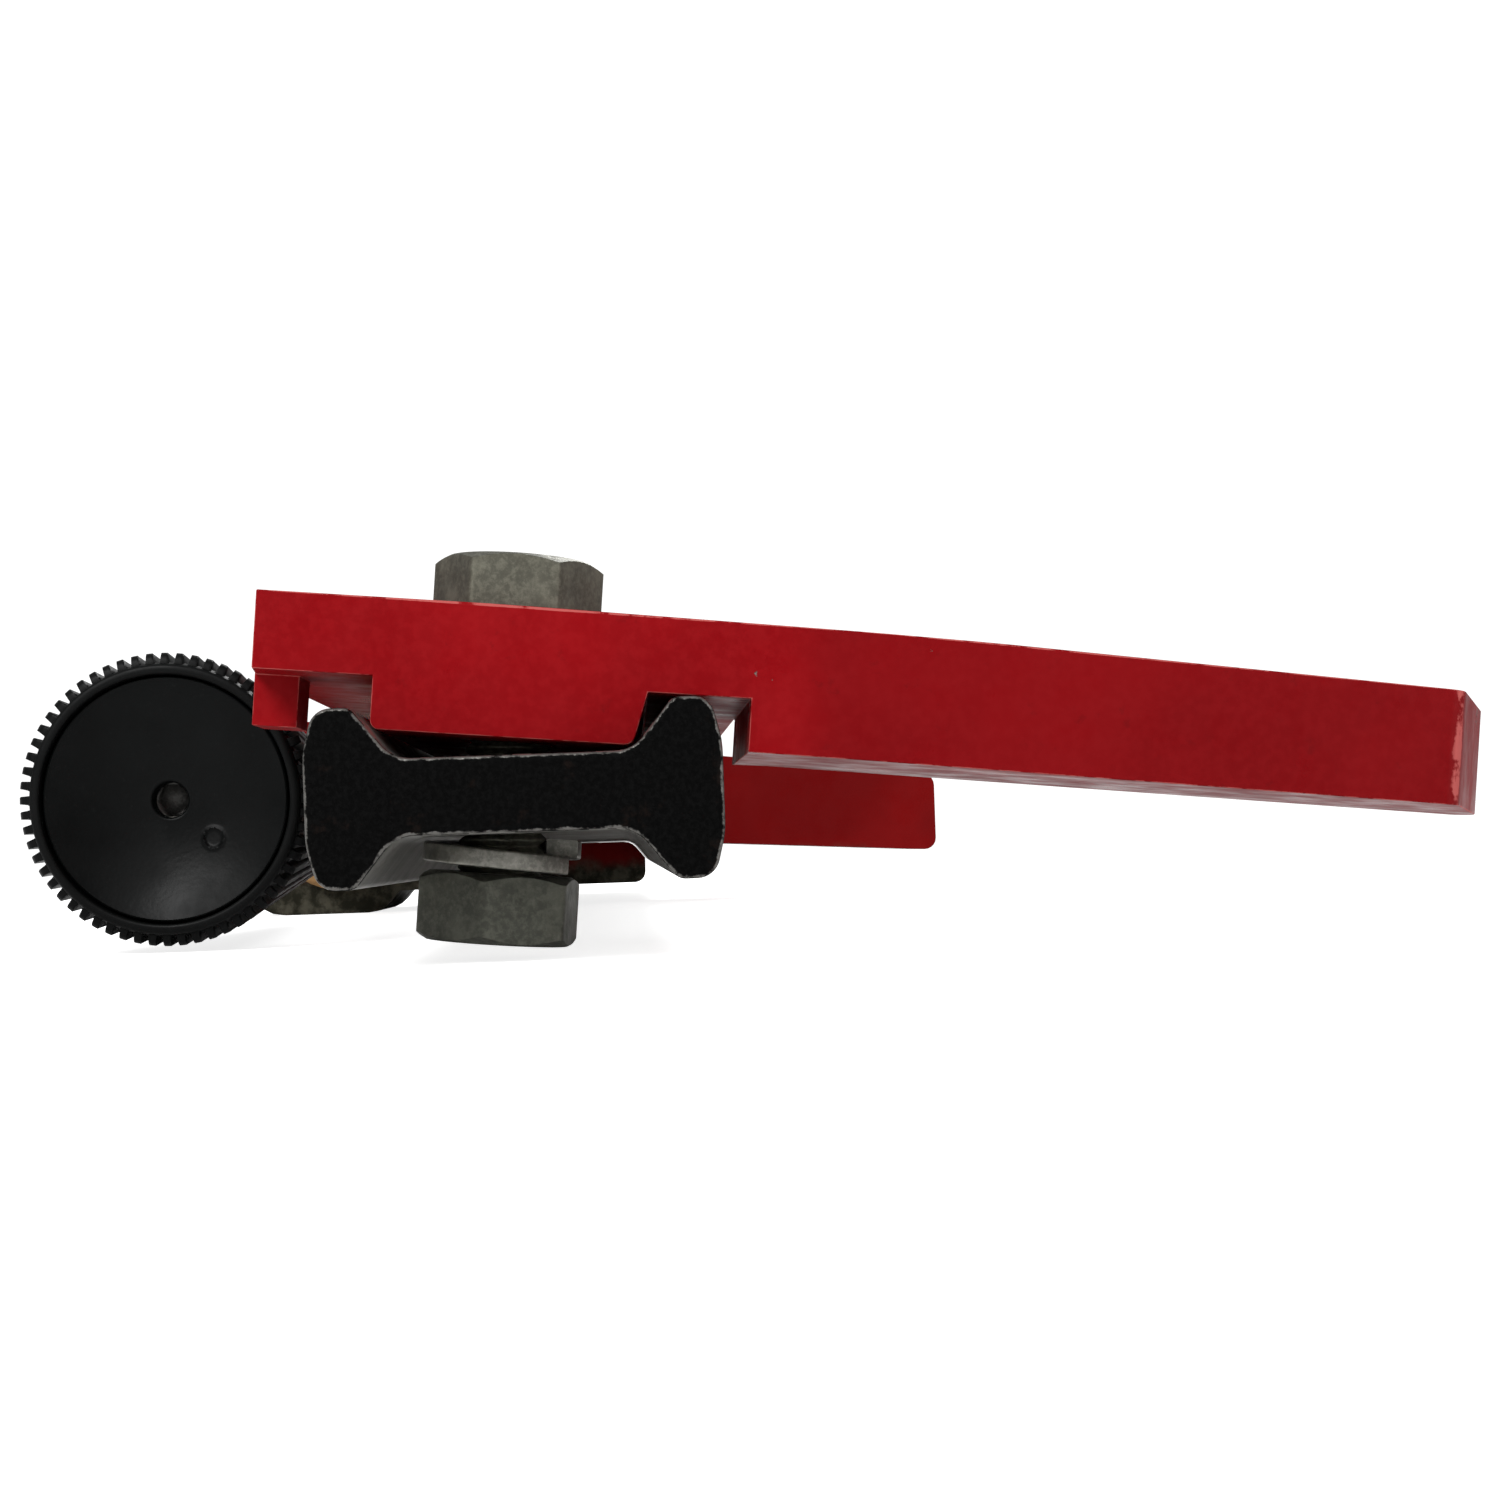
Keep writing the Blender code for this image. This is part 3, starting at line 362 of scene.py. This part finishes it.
def red_enamel(name, deep=(0.205, 0.0020, 0.0040), light=(0.265, 0.0035, 0.0060)):
    """Thick enamel on a casting: slow colour drift, orange peel, dust, chips, worn edges lightened
    partly as a painted highlight, and a painted shade towards +X.
    """
    f = Finish(name, roughness=0.36, Specular_IOR_Level=0.05)
    drift = f.spread(f.noise(28, 3), 0.35, 0.68)
    fine = f.spread(f.noise(900, 2, 0.6), 0.35, 0.7)
    colour = f.mix(drift, deep, light)
    colour = f.mix(f.sum(fine, 0.22, "MULTIPLY"), colour, (0.32, 0.010, 0.013))
    grime = f.spread(f.noise(420, 5, 0.7, shift=(3, 1, 2)), 0.60, 0.74)
    colour = f.mix(f.sum(grime, 0.42, "MULTIPLY"), colour, (0.12, 0.003, 0.004))
    # Painted shade: the colour darkens by up to a third from x = 26 mm to 36 mm, standing in for less
    # light falling on the arm's right end.
    shade = f.spread(f.axis("X"), 0.026, 0.036, 0.0, 0.34)
    colour = f.mix(shade, colour, (0.06, 0.0008, 0.0012))
    # Worn edges lightened to pink: partly rubbed paint, partly a painted highlight along the rounded
    # edges.
    edge = f.attribute("wear")
    rubbed = f.spread(f.sum(f.noise(330, 5, 0.65), f.sum(edge, 0.30, "MULTIPLY")), 0.70, 0.80)
    rubbed = f.sum(rubbed, edge, "MULTIPLY")
    colour = f.mix(f.sum(rubbed, 0.75, "MULTIPLY"), colour, (0.50, 0.115, 0.105))
    chips = f.spread(f.noise(120, 6, 0.62, shift=(7, 4, 9)), 0.715, 0.735)
    colour = f.mix(chips, colour, (0.17, 0.14, 0.13))
    f.bump(f.noise(520, 2, 0.5), 0.00010, 0.55)
    f.bump(f.noise(70, 3, 0.5), 0.00035, 0.35)
    f.bump(f.sum(1.0, chips, "SUBTRACT"), 0.00015, 0.8)
    rough = f.spread(f.noise(180, 4), 0.3, 0.7, 0.27, 0.47)
    rough = f.sum(rough, f.sum(f.sum(chips, rubbed, "MAXIMUM"), 0.25, "MULTIPLY"))
    return f.done(colour, rough)


def head_enamel():
    """The head's enamel, darker and olive towards its underside, with red left in patches."""
    f = Finish("worn_head_enamel", roughness=0.42, Specular_IOR_Level=0.06)
    drift = f.spread(f.noise(30, 3), 0.35, 0.68)
    red = f.mix(drift, (0.125, 0.0015, 0.0018), (0.175, 0.0025, 0.003))
    # Mottled olive-dark colour that the enamel turns to towards the underside.
    scale = f.spread(f.noise(260, 5, 0.65), 0.4, 0.65)
    low_olive = f.mix(scale, (0.020, 0.019, 0.013), (0.075, 0.070, 0.052))
    # Darker, olive and more metallic from z = -3 mm down to -15 mm, the boundary broken into patches by
    # noise.
    low = f.spread(f.axis("Z"), -0.0030, -0.0150)
    patch = f.spread(f.noise(75, 4, 0.6, shift=(2, 5, 1)), 0.35, 0.65, -0.12, 0.12)
    bare = f.spread(f.sum(low, patch), 0.25, 0.75)
    edge = f.attribute("wear")
    rubbed = f.sum(f.spread(f.noise(300, 5, 0.65), 0.42, 0.62), edge, "MULTIPLY")
    colour = f.mix(bare, red, low_olive)
    colour = f.mix(f.sum(rubbed, 0.6, "MULTIPLY"), colour, (0.33, 0.29, 0.24))
    f.bump(f.noise(520, 2), 0.00010, 0.6)
    f.bump(f.noise(150, 5, 0.6), 0.00025, 0.5)
    rough = f.spread(f.noise(200, 4), 0.3, 0.7, 0.30, 0.52)
    metal = f.sum(bare, 0.55, "MULTIPLY")
    return f.done(colour, rough, metal)


def drawn_steel():
    """The rail's sides: drawing lines along its length, a dull zinc bloom, faint brown stains."""
    f = Finish("drawn_steel", metallic=0.9, roughness=0.4)
    lines = f.noise(900, 3, 0.6, stretch=(1, 0.012, 1))
    bloom = f.spread(f.noise(90, 5, 0.6), 0.3, 0.7)
    colour = f.mix(bloom, (0.20, 0.195, 0.180), (0.34, 0.335, 0.315))
    colour = f.mix(f.spread(lines, 0.45, 0.75, 0, 0.5), colour, (0.24, 0.235, 0.22))
    stain = f.spread(f.noise(45, 6, 0.7, shift=(4, 2, 8)), 0.60, 0.72, 0, 0.45)
    colour = f.mix(stain, colour, (0.20, 0.155, 0.105))
    f.bump(lines, 0.00006, 0.6)
    f.bump(f.noise(600, 3), 0.00004, 0.5)
    rough = f.spread(f.noise(160, 4), 0.3, 0.7, 0.30, 0.50)
    return f.done(colour, rough)


def sawn_end():
    """The rail's end: blackened scale with fine bright specks, bare and chipped along its edge."""
    f = Finish("scaled_end", roughness=0.6, Specular_IOR_Level=0.03)
    specks = f.noise(1500, 4, 0.75)
    colour = f.mix(f.spread(specks, 0.42, 0.62), (0.0010, 0.0010, 0.0010), (0.0028, 0.0028, 0.0028))
    colour = f.mix(f.spread(specks, 0.68, 0.78, 0, 0.25), colour, (0.030, 0.029, 0.028))
    rust = f.spread(f.noise(210, 5, 0.65, shift=(1, 6, 3)), 0.58, 0.68, 0, 0.4)
    colour = f.mix(rust, colour, (0.014, 0.008, 0.006))
    edge = f.attribute("wear")
    chip = f.spread(f.sum(f.sum(edge, 0.62, "MULTIPLY"), f.noise(620, 5, 0.7)), 0.98, 1.18)
    colour = f.mix(chip, colour, (0.17, 0.165, 0.155))
    f.bump(specks, 0.00010, 0.9)
    f.bump(f.noise(260, 4), 0.00020, 0.6)
    rough = f.spread(chip, 0, 1, 0.58, 0.38)
    metal = f.spread(chip, 0, 1, 0.0, 0.8)
    return f.done(colour, rough, metal)


def fastener_steel(name, tint, rough_low=0.30, rough_high=0.52, dirt=0.5, metallic=0.85):
    """Plated steel gone dull: fine speckle, oil-dark patches, brighter random patches."""
    f = Finish(name, metallic=metallic, roughness=0.4)
    speck = f.noise(1300, 4, 0.7)
    dark = tuple(x * 0.60 for x in tint)
    light = tuple(min(1, x * 1.45) for x in tint)
    colour = f.mix(f.spread(speck, 0.40, 0.66), dark, tint)
    colour = f.mix(f.spread(f.noise(170, 5), 0.45, 0.7, 0, 0.7), colour, light)
    oil = f.spread(f.noise(95, 5, 0.65, shift=(5, 3, 2)), 0.52, 0.66, 0, dirt)
    colour = f.mix(oil, colour, (0.060, 0.054, 0.040))
    f.bump(speck, 0.00006, 0.7)
    f.bump(f.noise(240, 4), 0.00008, 0.6)
    rough = f.spread(f.noise(300, 4), 0.3, 0.7, rough_low, rough_high)
    return f.done(colour, rough)


def grip_plastic(name="moulded_black", base=(0.0016, 0.0018, 0.0018), dust=0.05):
    """Satin moulded plastic: fine pebble, handling polish and a little grey dust."""
    f = Finish(name, roughness=0.42, Specular_IOR_Level=0.10)
    bloom = f.spread(f.noise(60, 5, 0.6), 0.35, 0.7)
    colour = f.mix(bloom, base, tuple(x * 1.9 for x in base))
    specks = f.spread(f.noise(1100, 4, 0.7), 0.60, 0.72, 0, dust)
    colour = f.mix(specks, colour, (0.05, 0.052, 0.05))
    f.bump(f.noise(1600, 2), 0.00004, 0.5)
    f.bump(f.noise(130, 3), 0.00010, 0.4)
    rough = f.spread(f.noise(110, 4), 0.3, 0.7, 0.34, 0.52)
    return f.done(colour, rough)


def bronze():
    f = Finish("turned_bronze", metallic=1.0, roughness=0.34)
    rings = f.noise(1400, 2, stretch=(1, 1, 1))
    colour = f.mix(f.spread(f.noise(120, 5), 0.35, 0.7), (0.33, 0.19, 0.085), (0.52, 0.33, 0.15))
    colour = f.mix(f.spread(rings, 0.6, 0.75, 0, 0.5), colour, (0.16, 0.10, 0.05))
    f.bump(rings, 0.00004, 0.5)
    return f.done(colour, f.spread(f.noise(200, 4), 0.3, 0.7, 0.28, 0.46))


# Pieces


def corner_arc(before, here, after, radius, count=9):
    """Points of the arc of a radius that touches both sides of a corner."""
    before, here, after = (np.array(p, float) for p in (before, here, after))
    a = (before - here) / np.linalg.norm(before - here)
    b = (after - here) / np.linalg.norm(after - here)
    half = math.acos(np.clip(a @ b, -1, 1)) / 2
    reach = radius / math.tan(half)
    centre = here + (a + b) / np.linalg.norm(a + b) * (radius / math.sin(half))
    start, end = here + a * reach - centre, here + b * reach - centre
    share = np.linspace(0, 1, count)[:, None]
    sweep = math.acos(np.clip(start @ end / radius**2, -1, 1))
    spokes = (np.sin((1 - share) * sweep) * start + np.sin(share * sweep) * end) / math.sin(sweep)
    return centre + spokes


def rail_outline():
    """The rail's section in x and z, anticlockwise: flange tips, rounded shoulders, sloped flanks.

    The lower half is the upper half with z negated and its order reversed.
    """
    half = RAIL_HIGH[2]
    width = RAIL_HIGH[0]
    quarter = [(width, half / 2, 10), (20.9, half, 2.4), (17.0, half, 1.6), (12.6, 4.1, 4)]
    left = [(-x, z, r) for x, z, r in reversed(quarter)]
    loop = quarter + left
    loop += [(-x, -z, r) for x, z, r in loop]
    arcs = [
        corner_arc(loop[i - 1][:2], loop[i][:2], loop[i + 1][:2], loop[i][2]) for i in range(8)
    ]
    top = dense(np.concatenate(arcs), 1.0)
    return np.concatenate([top, top[::-1] * (1, -1)])


def inset(outline, distance):
    """An outline moved inwards along its own normals."""
    along = np.roll(outline, -1, 0) - np.roll(outline, 1, 0)
    along /= np.linalg.norm(along, axis=1, keepdims=True)
    return outline - np.stack([along[:, 1], -along[:, 0]], -1) * distance


def build_rail():
    """The section carried along y. Near each end its rows step inwards round a small, chipped edge."""
    outline = rail_outline()
    length = RAIL_HIGH[1]
    near = [
        (1.1, 0.0, 0), (0.6, 0.0, 0.35), (0.35, 0.0, 0.8), (0.2, 0.08, 1),
        (0.07, 0.25, 1), (0, 0.6, 0.4), (0, 1.2, 0),
    ]
    far = [(d, length - y, w) for d, y, w in reversed(near)]
    middle = [(0, y, 0) for y in np.linspace(6, length - 6, 24)]
    rows, wear = [], []
    for distance, y, worn in near + middle + far:
        ring = inset(outline, distance)
        points = np.stack([ring[:, 0], np.full(len(ring), y), ring[:, 1]], -1)
        if worn:
            chip = np.clip(ripple(points, 3.1, 2) - 0.35, 0, 1)
            chip += np.clip(ripple(points, 1.1, 5) - 0.5, 0, 1)
            points[:, 1] += np.where(y < length / 2, 1, -1) * chip * 0.22 * worn
        rows.append(points)
        wear.append(np.full(len(ring), worn))
    grid = np.stack(rows)
    count = len(outline)
    faces = quads(len(rows), count).tolist()
    for first in (0, (len(rows) - 1) * count):
        for k in range(count // 2 - 1):
            a, b = first + k, first + count - 1 - k
            faces.append([a, a + 1, b - 1, b])
    rail = piece("rail_bar", grid, faces, sharp=60, wear=np.stack(wear))
    centres = np.empty(len(rail.data.polygons) * 3)
    rail.data.polygons.foreach_get("center", centres)
    y = centres[1::3] / MM
    end = ((y < 0.45) | (y > length - 0.45)).astype(np.int32)
    rail.data.polygons.foreach_set("material_index", end)
    place(rail, "rail_frame", "rail", "steel", drawn_steel(), sawn_end())
    rail.data.polygons.foreach_set("material_index", end)


def hexagon_rows(rows, columns, across_flats, turn):
    """Radius at each row: the smaller of the hexagon's side and the chamfer cone's radius there."""
    angle = np.linspace(0, TAU, columns, endpoint=False)
    side = hexagon_radius(angle, across_flats, turn)[None, :]
    return np.minimum(side, np.array(rows)[:, 0:1]), np.broadcast_to(
        np.array(rows)[:, 1:2], (len(rows), columns)
    ).copy()


def build_bolt():
    """A hexagon bolt: chamfered head, then a shank whose radius falls by the thread's depth."""
    columns = 384
    drop = (HEXAGON_CORNER - FACE_RADIUS) * CHAMFER_SLOPE
    chamfer = dense([(FACE_RADIUS, BOLT_TOP), (HEXAGON_CORNER, BOLT_TOP - drop)], 0.03)
    side = dense([(HEXAGON_CORNER, BOLT_TOP - 1.02), (HEXAGON_CORNER, BOLT_SEAT)], 1.2)
    head = np.concatenate([[(0.001, BOLT_TOP)], [(FACE_RADIUS * 0.6, BOLT_TOP)], chamfer, side])
    r_head, h_head = hexagon_rows(head, columns, ACROSS_FLATS, math.pi / 6)
    shank = dense([(5.0, BOLT_SEAT), (5.0, BOLT_TIP + 0.63), (4.2, BOLT_TIP)], 0.15)
    angle = np.linspace(0, TAU, columns, endpoint=False)[None, :]
    height = np.broadcast_to(shank[:, 1:2], (len(shank), columns))
    radius = shank[:, 0:1] - 0.78 * thread_depth(height, angle, 1.5, 0.14, 0.38)
    r = np.concatenate([r_head, radius, np.full((1, columns), 0.001)])
    h = np.concatenate([h_head, height, np.full((1, columns), BOLT_TIP)])
    points, faces = lathe(r, h)
    bolt = piece("hexagon_bolt", along_bolt(points), faces.tolist(), sharp=28)
    steel = fastener_steel(
        "bolt_steel", (0.150, 0.148, 0.115), 0.46, 0.62, dirt=0.35, metallic=0.7
    )
    place(bolt, "rail_frame", "arm_bolt", "steel", steel)


def build_nut():
    """A hexagon nut chamfered on both faces round a plain bore."""
    low, high = NUT_LOW, NUT_HIGH
    columns = 192
    drop = (HEXAGON_CORNER - FACE_RADIUS) * CHAMFER_SLOPE
    upper = dense([(FACE_RADIUS, high), (HEXAGON_CORNER, high - drop)], 0.06)
    lower = dense([(HEXAGON_CORNER, low + drop), (FACE_RADIUS, low)], 0.06)
    side = dense(
        [(HEXAGON_CORNER, high - drop - 0.05), (HEXAGON_CORNER, low + drop + 0.05)], 1.2
    )
    profile = np.concatenate(
        [[(5.35, high), (5.9, high)], upper, side, lower, [(5.9, low), (5.35, low + 0.5)]]
    )
    r, h = hexagon_rows(profile, columns, ACROSS_FLATS, NUT_TURN)
    points, faces = lathe(r, h, ring_rows=True)
    nut = piece("hexagon_nut", along_bolt(points), faces.tolist(), sharp=28)
    steel = fastener_steel(
        "nut_steel", (0.088, 0.090, 0.072), 0.40, 0.58, dirt=0.35, metallic=0.7
    )
    place(nut, "rail_frame", "arm_nut", "steel", steel)


def build_spring_washer():
    """A rounded square section carried round most of a turn while it sinks by the washer's rise."""
    rise, thickness, inner, outer = 1.9, 2.1, 5.32, 9.05
    edge = 0.28
    corners = [(inner, 0), (outer, 0), (outer, -thickness), (inner, -thickness)]
    arcs = [
        corner_arc(corners[i - 1], corners[i], corners[(i + 1) % 4], edge, 5) for i in range(4)
    ]
    section = dense(np.concatenate([*arcs, arcs[0][:1]]), 0.6)[:-1]
    turn = np.radians(np.linspace(-16, 330, 150))[:, None]
    share = np.linspace(0, 1, 150)[:, None]
    radius = section[None, :, 0]
    level = section[None, :, 1] + WASHER_TOP - rise * share
    grid = np.stack([radius * np.cos(turn), radius * np.sin(turn), level], -1)
    count = len(section)
    faces = quads(150, count).tolist()
    faces += [list(range(count)), list(range(149 * count, 150 * count))]
    washer = piece("split_washer", along_bolt(grid), faces, sharp=50)
    steel = fastener_steel("washer_steel", (0.26, 0.255, 0.225), dirt=0.2)
    place(washer, "rail_frame", "arm_spring_washer", "steel", steel)


def build_grip():
    """A ribbed sleeve: its radius falls evenly towards the back, and into each groove by a depth.

    The groove's depth fades out at both ends and shrinks with the sleeve.
    """
    front, back = GRIP_LOW[1], GRIP_HIGH[1]
    crest = GRIP_HIGH[2] - AXIS_Z
    slope = (1 - GRIP_NECK / crest) / (back - front)
    rows = [
        (5.3, front + 7.1, 0), (17.2, front + 7.1, 0),
        (17.2, front + 0.4, 0), (17.3, front + 0.12, 0),
        (17.6, front, 0), (18.2, front + 0.03, 0), (18.5, front + 0.2, 0), (18.66, front + 0.6, 0),
        (18.72, front + 0.85, 0.0), (19.25, front + 0.9, 0.42), (19.8, front + 1.15, 0.78),
        (crest - 0.1, front + 1.7, 0.96),
    ]
    for y in [front + 2.4, front + 30, front + 60, front + 90, back - 3.2]:
        rows.append((crest * (1 - slope * (y - front)), y, 1 - slope * (y - front)))
    rows += [
        (GRIP_NECK, back - 1.4, 0.45), (GRIP_NECK - 0.8, back - 0.5, 0.1), (GRIP_NECK - 1.5, back, 0),
        (6.3, back, 0), (6.3, front + 17.9, 0), (3.3, front + 17.9, 0), (3.3, front + 12.7, 0),
        (5.3, front + 12.7, 0),
    ]
    rows = np.array(rows)
    columns = GRIP_RIBS * 14
    turn = np.linspace(0, TAU, columns, endpoint=False)[None, :]
    phase = (turn * GRIP_RIBS / TAU) % 1.0
    groove = np.clip(np.minimum((phase - 0.48) / 0.1, (1 - phase) / 0.1), 0, 1)
    groove = groove * groove * (3 - 2 * groove)
    radius = rows[:, 0:1] - RIB_DEPTH * rows[:, 2:3] * groove
    height = np.broadcast_to(rows[:, 1:2], radius.shape)
    points, faces = lathe(radius, height, ring_rows=True)
    grip = piece("ribbed_grip", along_rail(points), faces.tolist(), sharp=50)
    place(grip, "handle", "handle_grip", "black_plastic", grip_plastic())


def build_cap():
    """A disc dished as part of a sphere, with a rimmed hole at its middle and a small round mark."""
    front, back = CAP_LOW[1], CAP_HIGH[1]
    edge = CAP_HIGH[2] - AXIS_Z
    rim, dish = edge - 0.55, 3.4
    bowl = (rim**2 + dish**2) / (2 * dish)
    r = np.linspace(rim, 3.0, 60)
    floor = front + 0.12 + dish - (bowl - np.sqrt(bowl**2 - r**2))
    profile = np.concatenate([
        [(2.45, back), (edge, back), (edge, front + 0.4)],
        [(edge - 0.1, front + 0.1), (edge - 0.3, front)],
        np.stack([r, floor], -1),
        [(2.8, floor[-1] - 0.02), (2.6, floor[-1] + 0.08), (2.45, floor[-1] + 0.4)],
    ])
    radius, height = turned(profile, 240)
    points, faces = lathe(radius, height, ring_rows=True)
    spot = np.hypot(points[..., 0] - 6.0, points[..., 1] - 5.5)
    lift = np.exp(-(((spot - 1.45) / 0.22) ** 2)) * -0.16 + (spot < 1.3) * 0.10
    points[..., 2] += np.where((profile[:, 1] < back - 1)[:, None], lift, 0)
    cap = piece("dished_cap", along_rail(points), faces.tolist(), sharp=40)
    black = grip_plastic("cap_black", (0.0012, 0.0015, 0.0015))
    place(cap, "handle", "handle_end_cap", "black_plastic", black)


def build_spindle():
    """The spindle's profile, with a square-shouldered thread sunk into its thick length."""
    low, high = SPINDLE_LOW[1], SPINDLE_HIGH[1]
    start, end = 194.6, 296.6
    groove = (high - 4.3, high - 2.2)
    profile = [
        (0.001, low), (5.6, low), (6.0, low + 0.4),
        (6.0, start), (7.2, start), (8.0, start + 0.8),
    ]
    thread = dense([(8.0, start + 0.8), (8.0, end - 0.8)], 0.3)
    tail = [
        (7.2, end), (6.0, end), (6.0, groove[0]), (4.8, groove[0]), (4.8, groove[1]),
        (6.0, groove[1]), (6.0, high - 0.8), (5.2, high), (0.001, high),
    ]
    profile = np.concatenate([profile, thread[1:], tail])
    columns = 80
    radius, height = turned(profile, columns)
    angle = np.linspace(0, TAU, columns, endpoint=False)[None, :]
    depth = 1.9 * thread_depth(height, angle, 4.0, 0.36, 0.12)
    fade = np.clip((height - start - 1.5) / 1.5, 0, 1) * np.clip((end - 1.5 - height) / 1.5, 0, 1)
    radius = radius - depth * fade
    points, faces = lathe(radius, height)
    spindle = piece("screw_spindle", along_rail(points), faces.tolist(), sharp=32)
    steel = fastener_steel("spindle_steel", (0.34, 0.33, 0.30), dirt=0.6)
    place(spindle, "handle", "spindle", "steel", steel)


def build_castings():
    arm = skin("fixed_arm")
    place(arm, "rail_frame", "fixed_arm", "red_paint", red_enamel("arm_enamel"))
    head = skin("moving_head")
    place(head, "head", "moving_head", "red_paint", head_enamel())


def build_small_parts():
    blackened = fastener_steel(
        "blackened_steel", (0.085, 0.083, 0.078), dirt=0.3, metallic=0.7
    )
    bright = fastener_steel("bright_steel", (0.46, 0.455, 0.43), 0.24, 0.42, dirt=0.25)
    metal = bronze()
    table = [
        ("thrust_shoe", "shoe", "steel", blackened),
        ("shoe_grip_plate", "shoe", "steel", bright),
        ("spindle_bush", "head", "bronze", metal),
        ("bush_set_screw", "head", "steel", blackened),
        ("slide_spring", "head", "steel", bright),
        ("thrust_washer", "handle", "steel", bright),
        ("retaining_ring", "handle", "steel", blackened),
        ("handle_screw", "handle", "steel", blackened),
        ("handle_ferrule", "handle", "steel", bright),
        ("handle_pin", "handle", "steel", bright),
        ("rail_stop_pin", "rail_frame", "steel", bright),
    ]
    for node, body, slot, material in table:
        place(skin(node, 0.5), body, node, slot, material)


# Stage


def build_stage():
    """A pale floor under the lowest point, soft lights, and the camera before the rail's end."""
    low = min(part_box(node)[0][2] for node in frame["nodes"])
    mesh = bpy.data.meshes.new("floor")
    mesh.from_pydata([(-4, -4, low), (4, -4, low), (4, 4, low), (-4, 4, low)], [], [(0, 1, 2, 3)])
    floor = bpy.data.objects.new("floor", mesh)
    bpy.context.scene.collection.objects.link(floor)
    material = bpy.data.materials.new("pale_floor")
    material.use_nodes = True
    nodes, links = material.node_tree.nodes, material.node_tree.links
    shader = nodes["Principled BSDF"]
    shader.inputs["Base Color"].default_value = (0.93, 0.93, 0.93, 1)
    shader.inputs["Roughness"].default_value = 0.9
    shader.inputs["Specular IOR Level"].default_value = 0.0
    shader.inputs["Emission Color"].default_value = (1, 1, 1, 1)
    seen = nodes.new("ShaderNodeLightPath")
    glow = nodes.new("ShaderNodeMapRange")
    glow.inputs["To Min"].default_value = 0.0
    glow.inputs["To Max"].default_value = 0.8
    links.new(seen.outputs["Is Camera Ray"], glow.inputs["Value"])
    links.new(glow.outputs["Result"], shader.inputs["Emission Strength"])
    mesh.materials.append(material)

    world = bpy.data.worlds.new("studio")
    bpy.context.scene.world = world
    world.use_nodes = True
    nodes, links = world.node_tree.nodes, world.node_tree.links
    back = nodes["Background"]
    back.inputs["Color"].default_value = (1, 1, 1, 1)
    path = nodes.new("ShaderNodeLightPath")
    level = nodes.new("ShaderNodeMapRange")
    level.inputs["To Min"].default_value = 0.36
    level.inputs["To Max"].default_value = 1.15
    links.new(path.outputs["Is Camera Ray"], level.inputs["Value"])
    links.new(level.outputs["Result"], back.inputs["Strength"])

    def light(name, location, target, size, power):
        data = bpy.data.lights.new(name, "AREA")
        data.shape = "DISK"
        data.size = size
        data.energy = power
        obj = bpy.data.objects.new(name, data)
        bpy.context.scene.collection.objects.link(obj)
        obj.location = location
        away = obj.location - Vector(target)
        obj.rotation_euler = away.to_track_quat("Z", "Y").to_euler()
        return obj

    light("key", (-0.45, -0.75, 0.75), (0, 0.1, 0), 0.55, 11)
    light("fill", (0.9, -0.6, 0.35), (0, 0.1, 0), 0.8, 4)
    light("rim", (0.25, 0.9, 0.7), (0, 0.1, 0), 0.5, 6)

    camera_data = bpy.data.cameras.new("camera")
    camera_data.sensor_width = 36
    camera_data.lens = 52.46
    camera_data.shift_x = 0.080
    camera_data.shift_y = 0.066
    camera_data.clip_start = 0.01
    camera = bpy.data.objects.new("camera", camera_data)
    bpy.context.scene.collection.objects.link(camera)
    camera.location = (0.01199, -0.229, -0.00627)
    camera.rotation_euler = (math.pi / 2, math.radians(2.0), 0)
    bpy.context.scene.camera = camera
    bpy.context.scene.view_settings.view_transform = "Standard"


build_rail()
build_bolt()
build_nut()
build_spring_washer()
build_castings()
build_grip()
build_cap()
build_spindle()
build_small_parts()
build_stage()

bpy.context.view_layer.update()
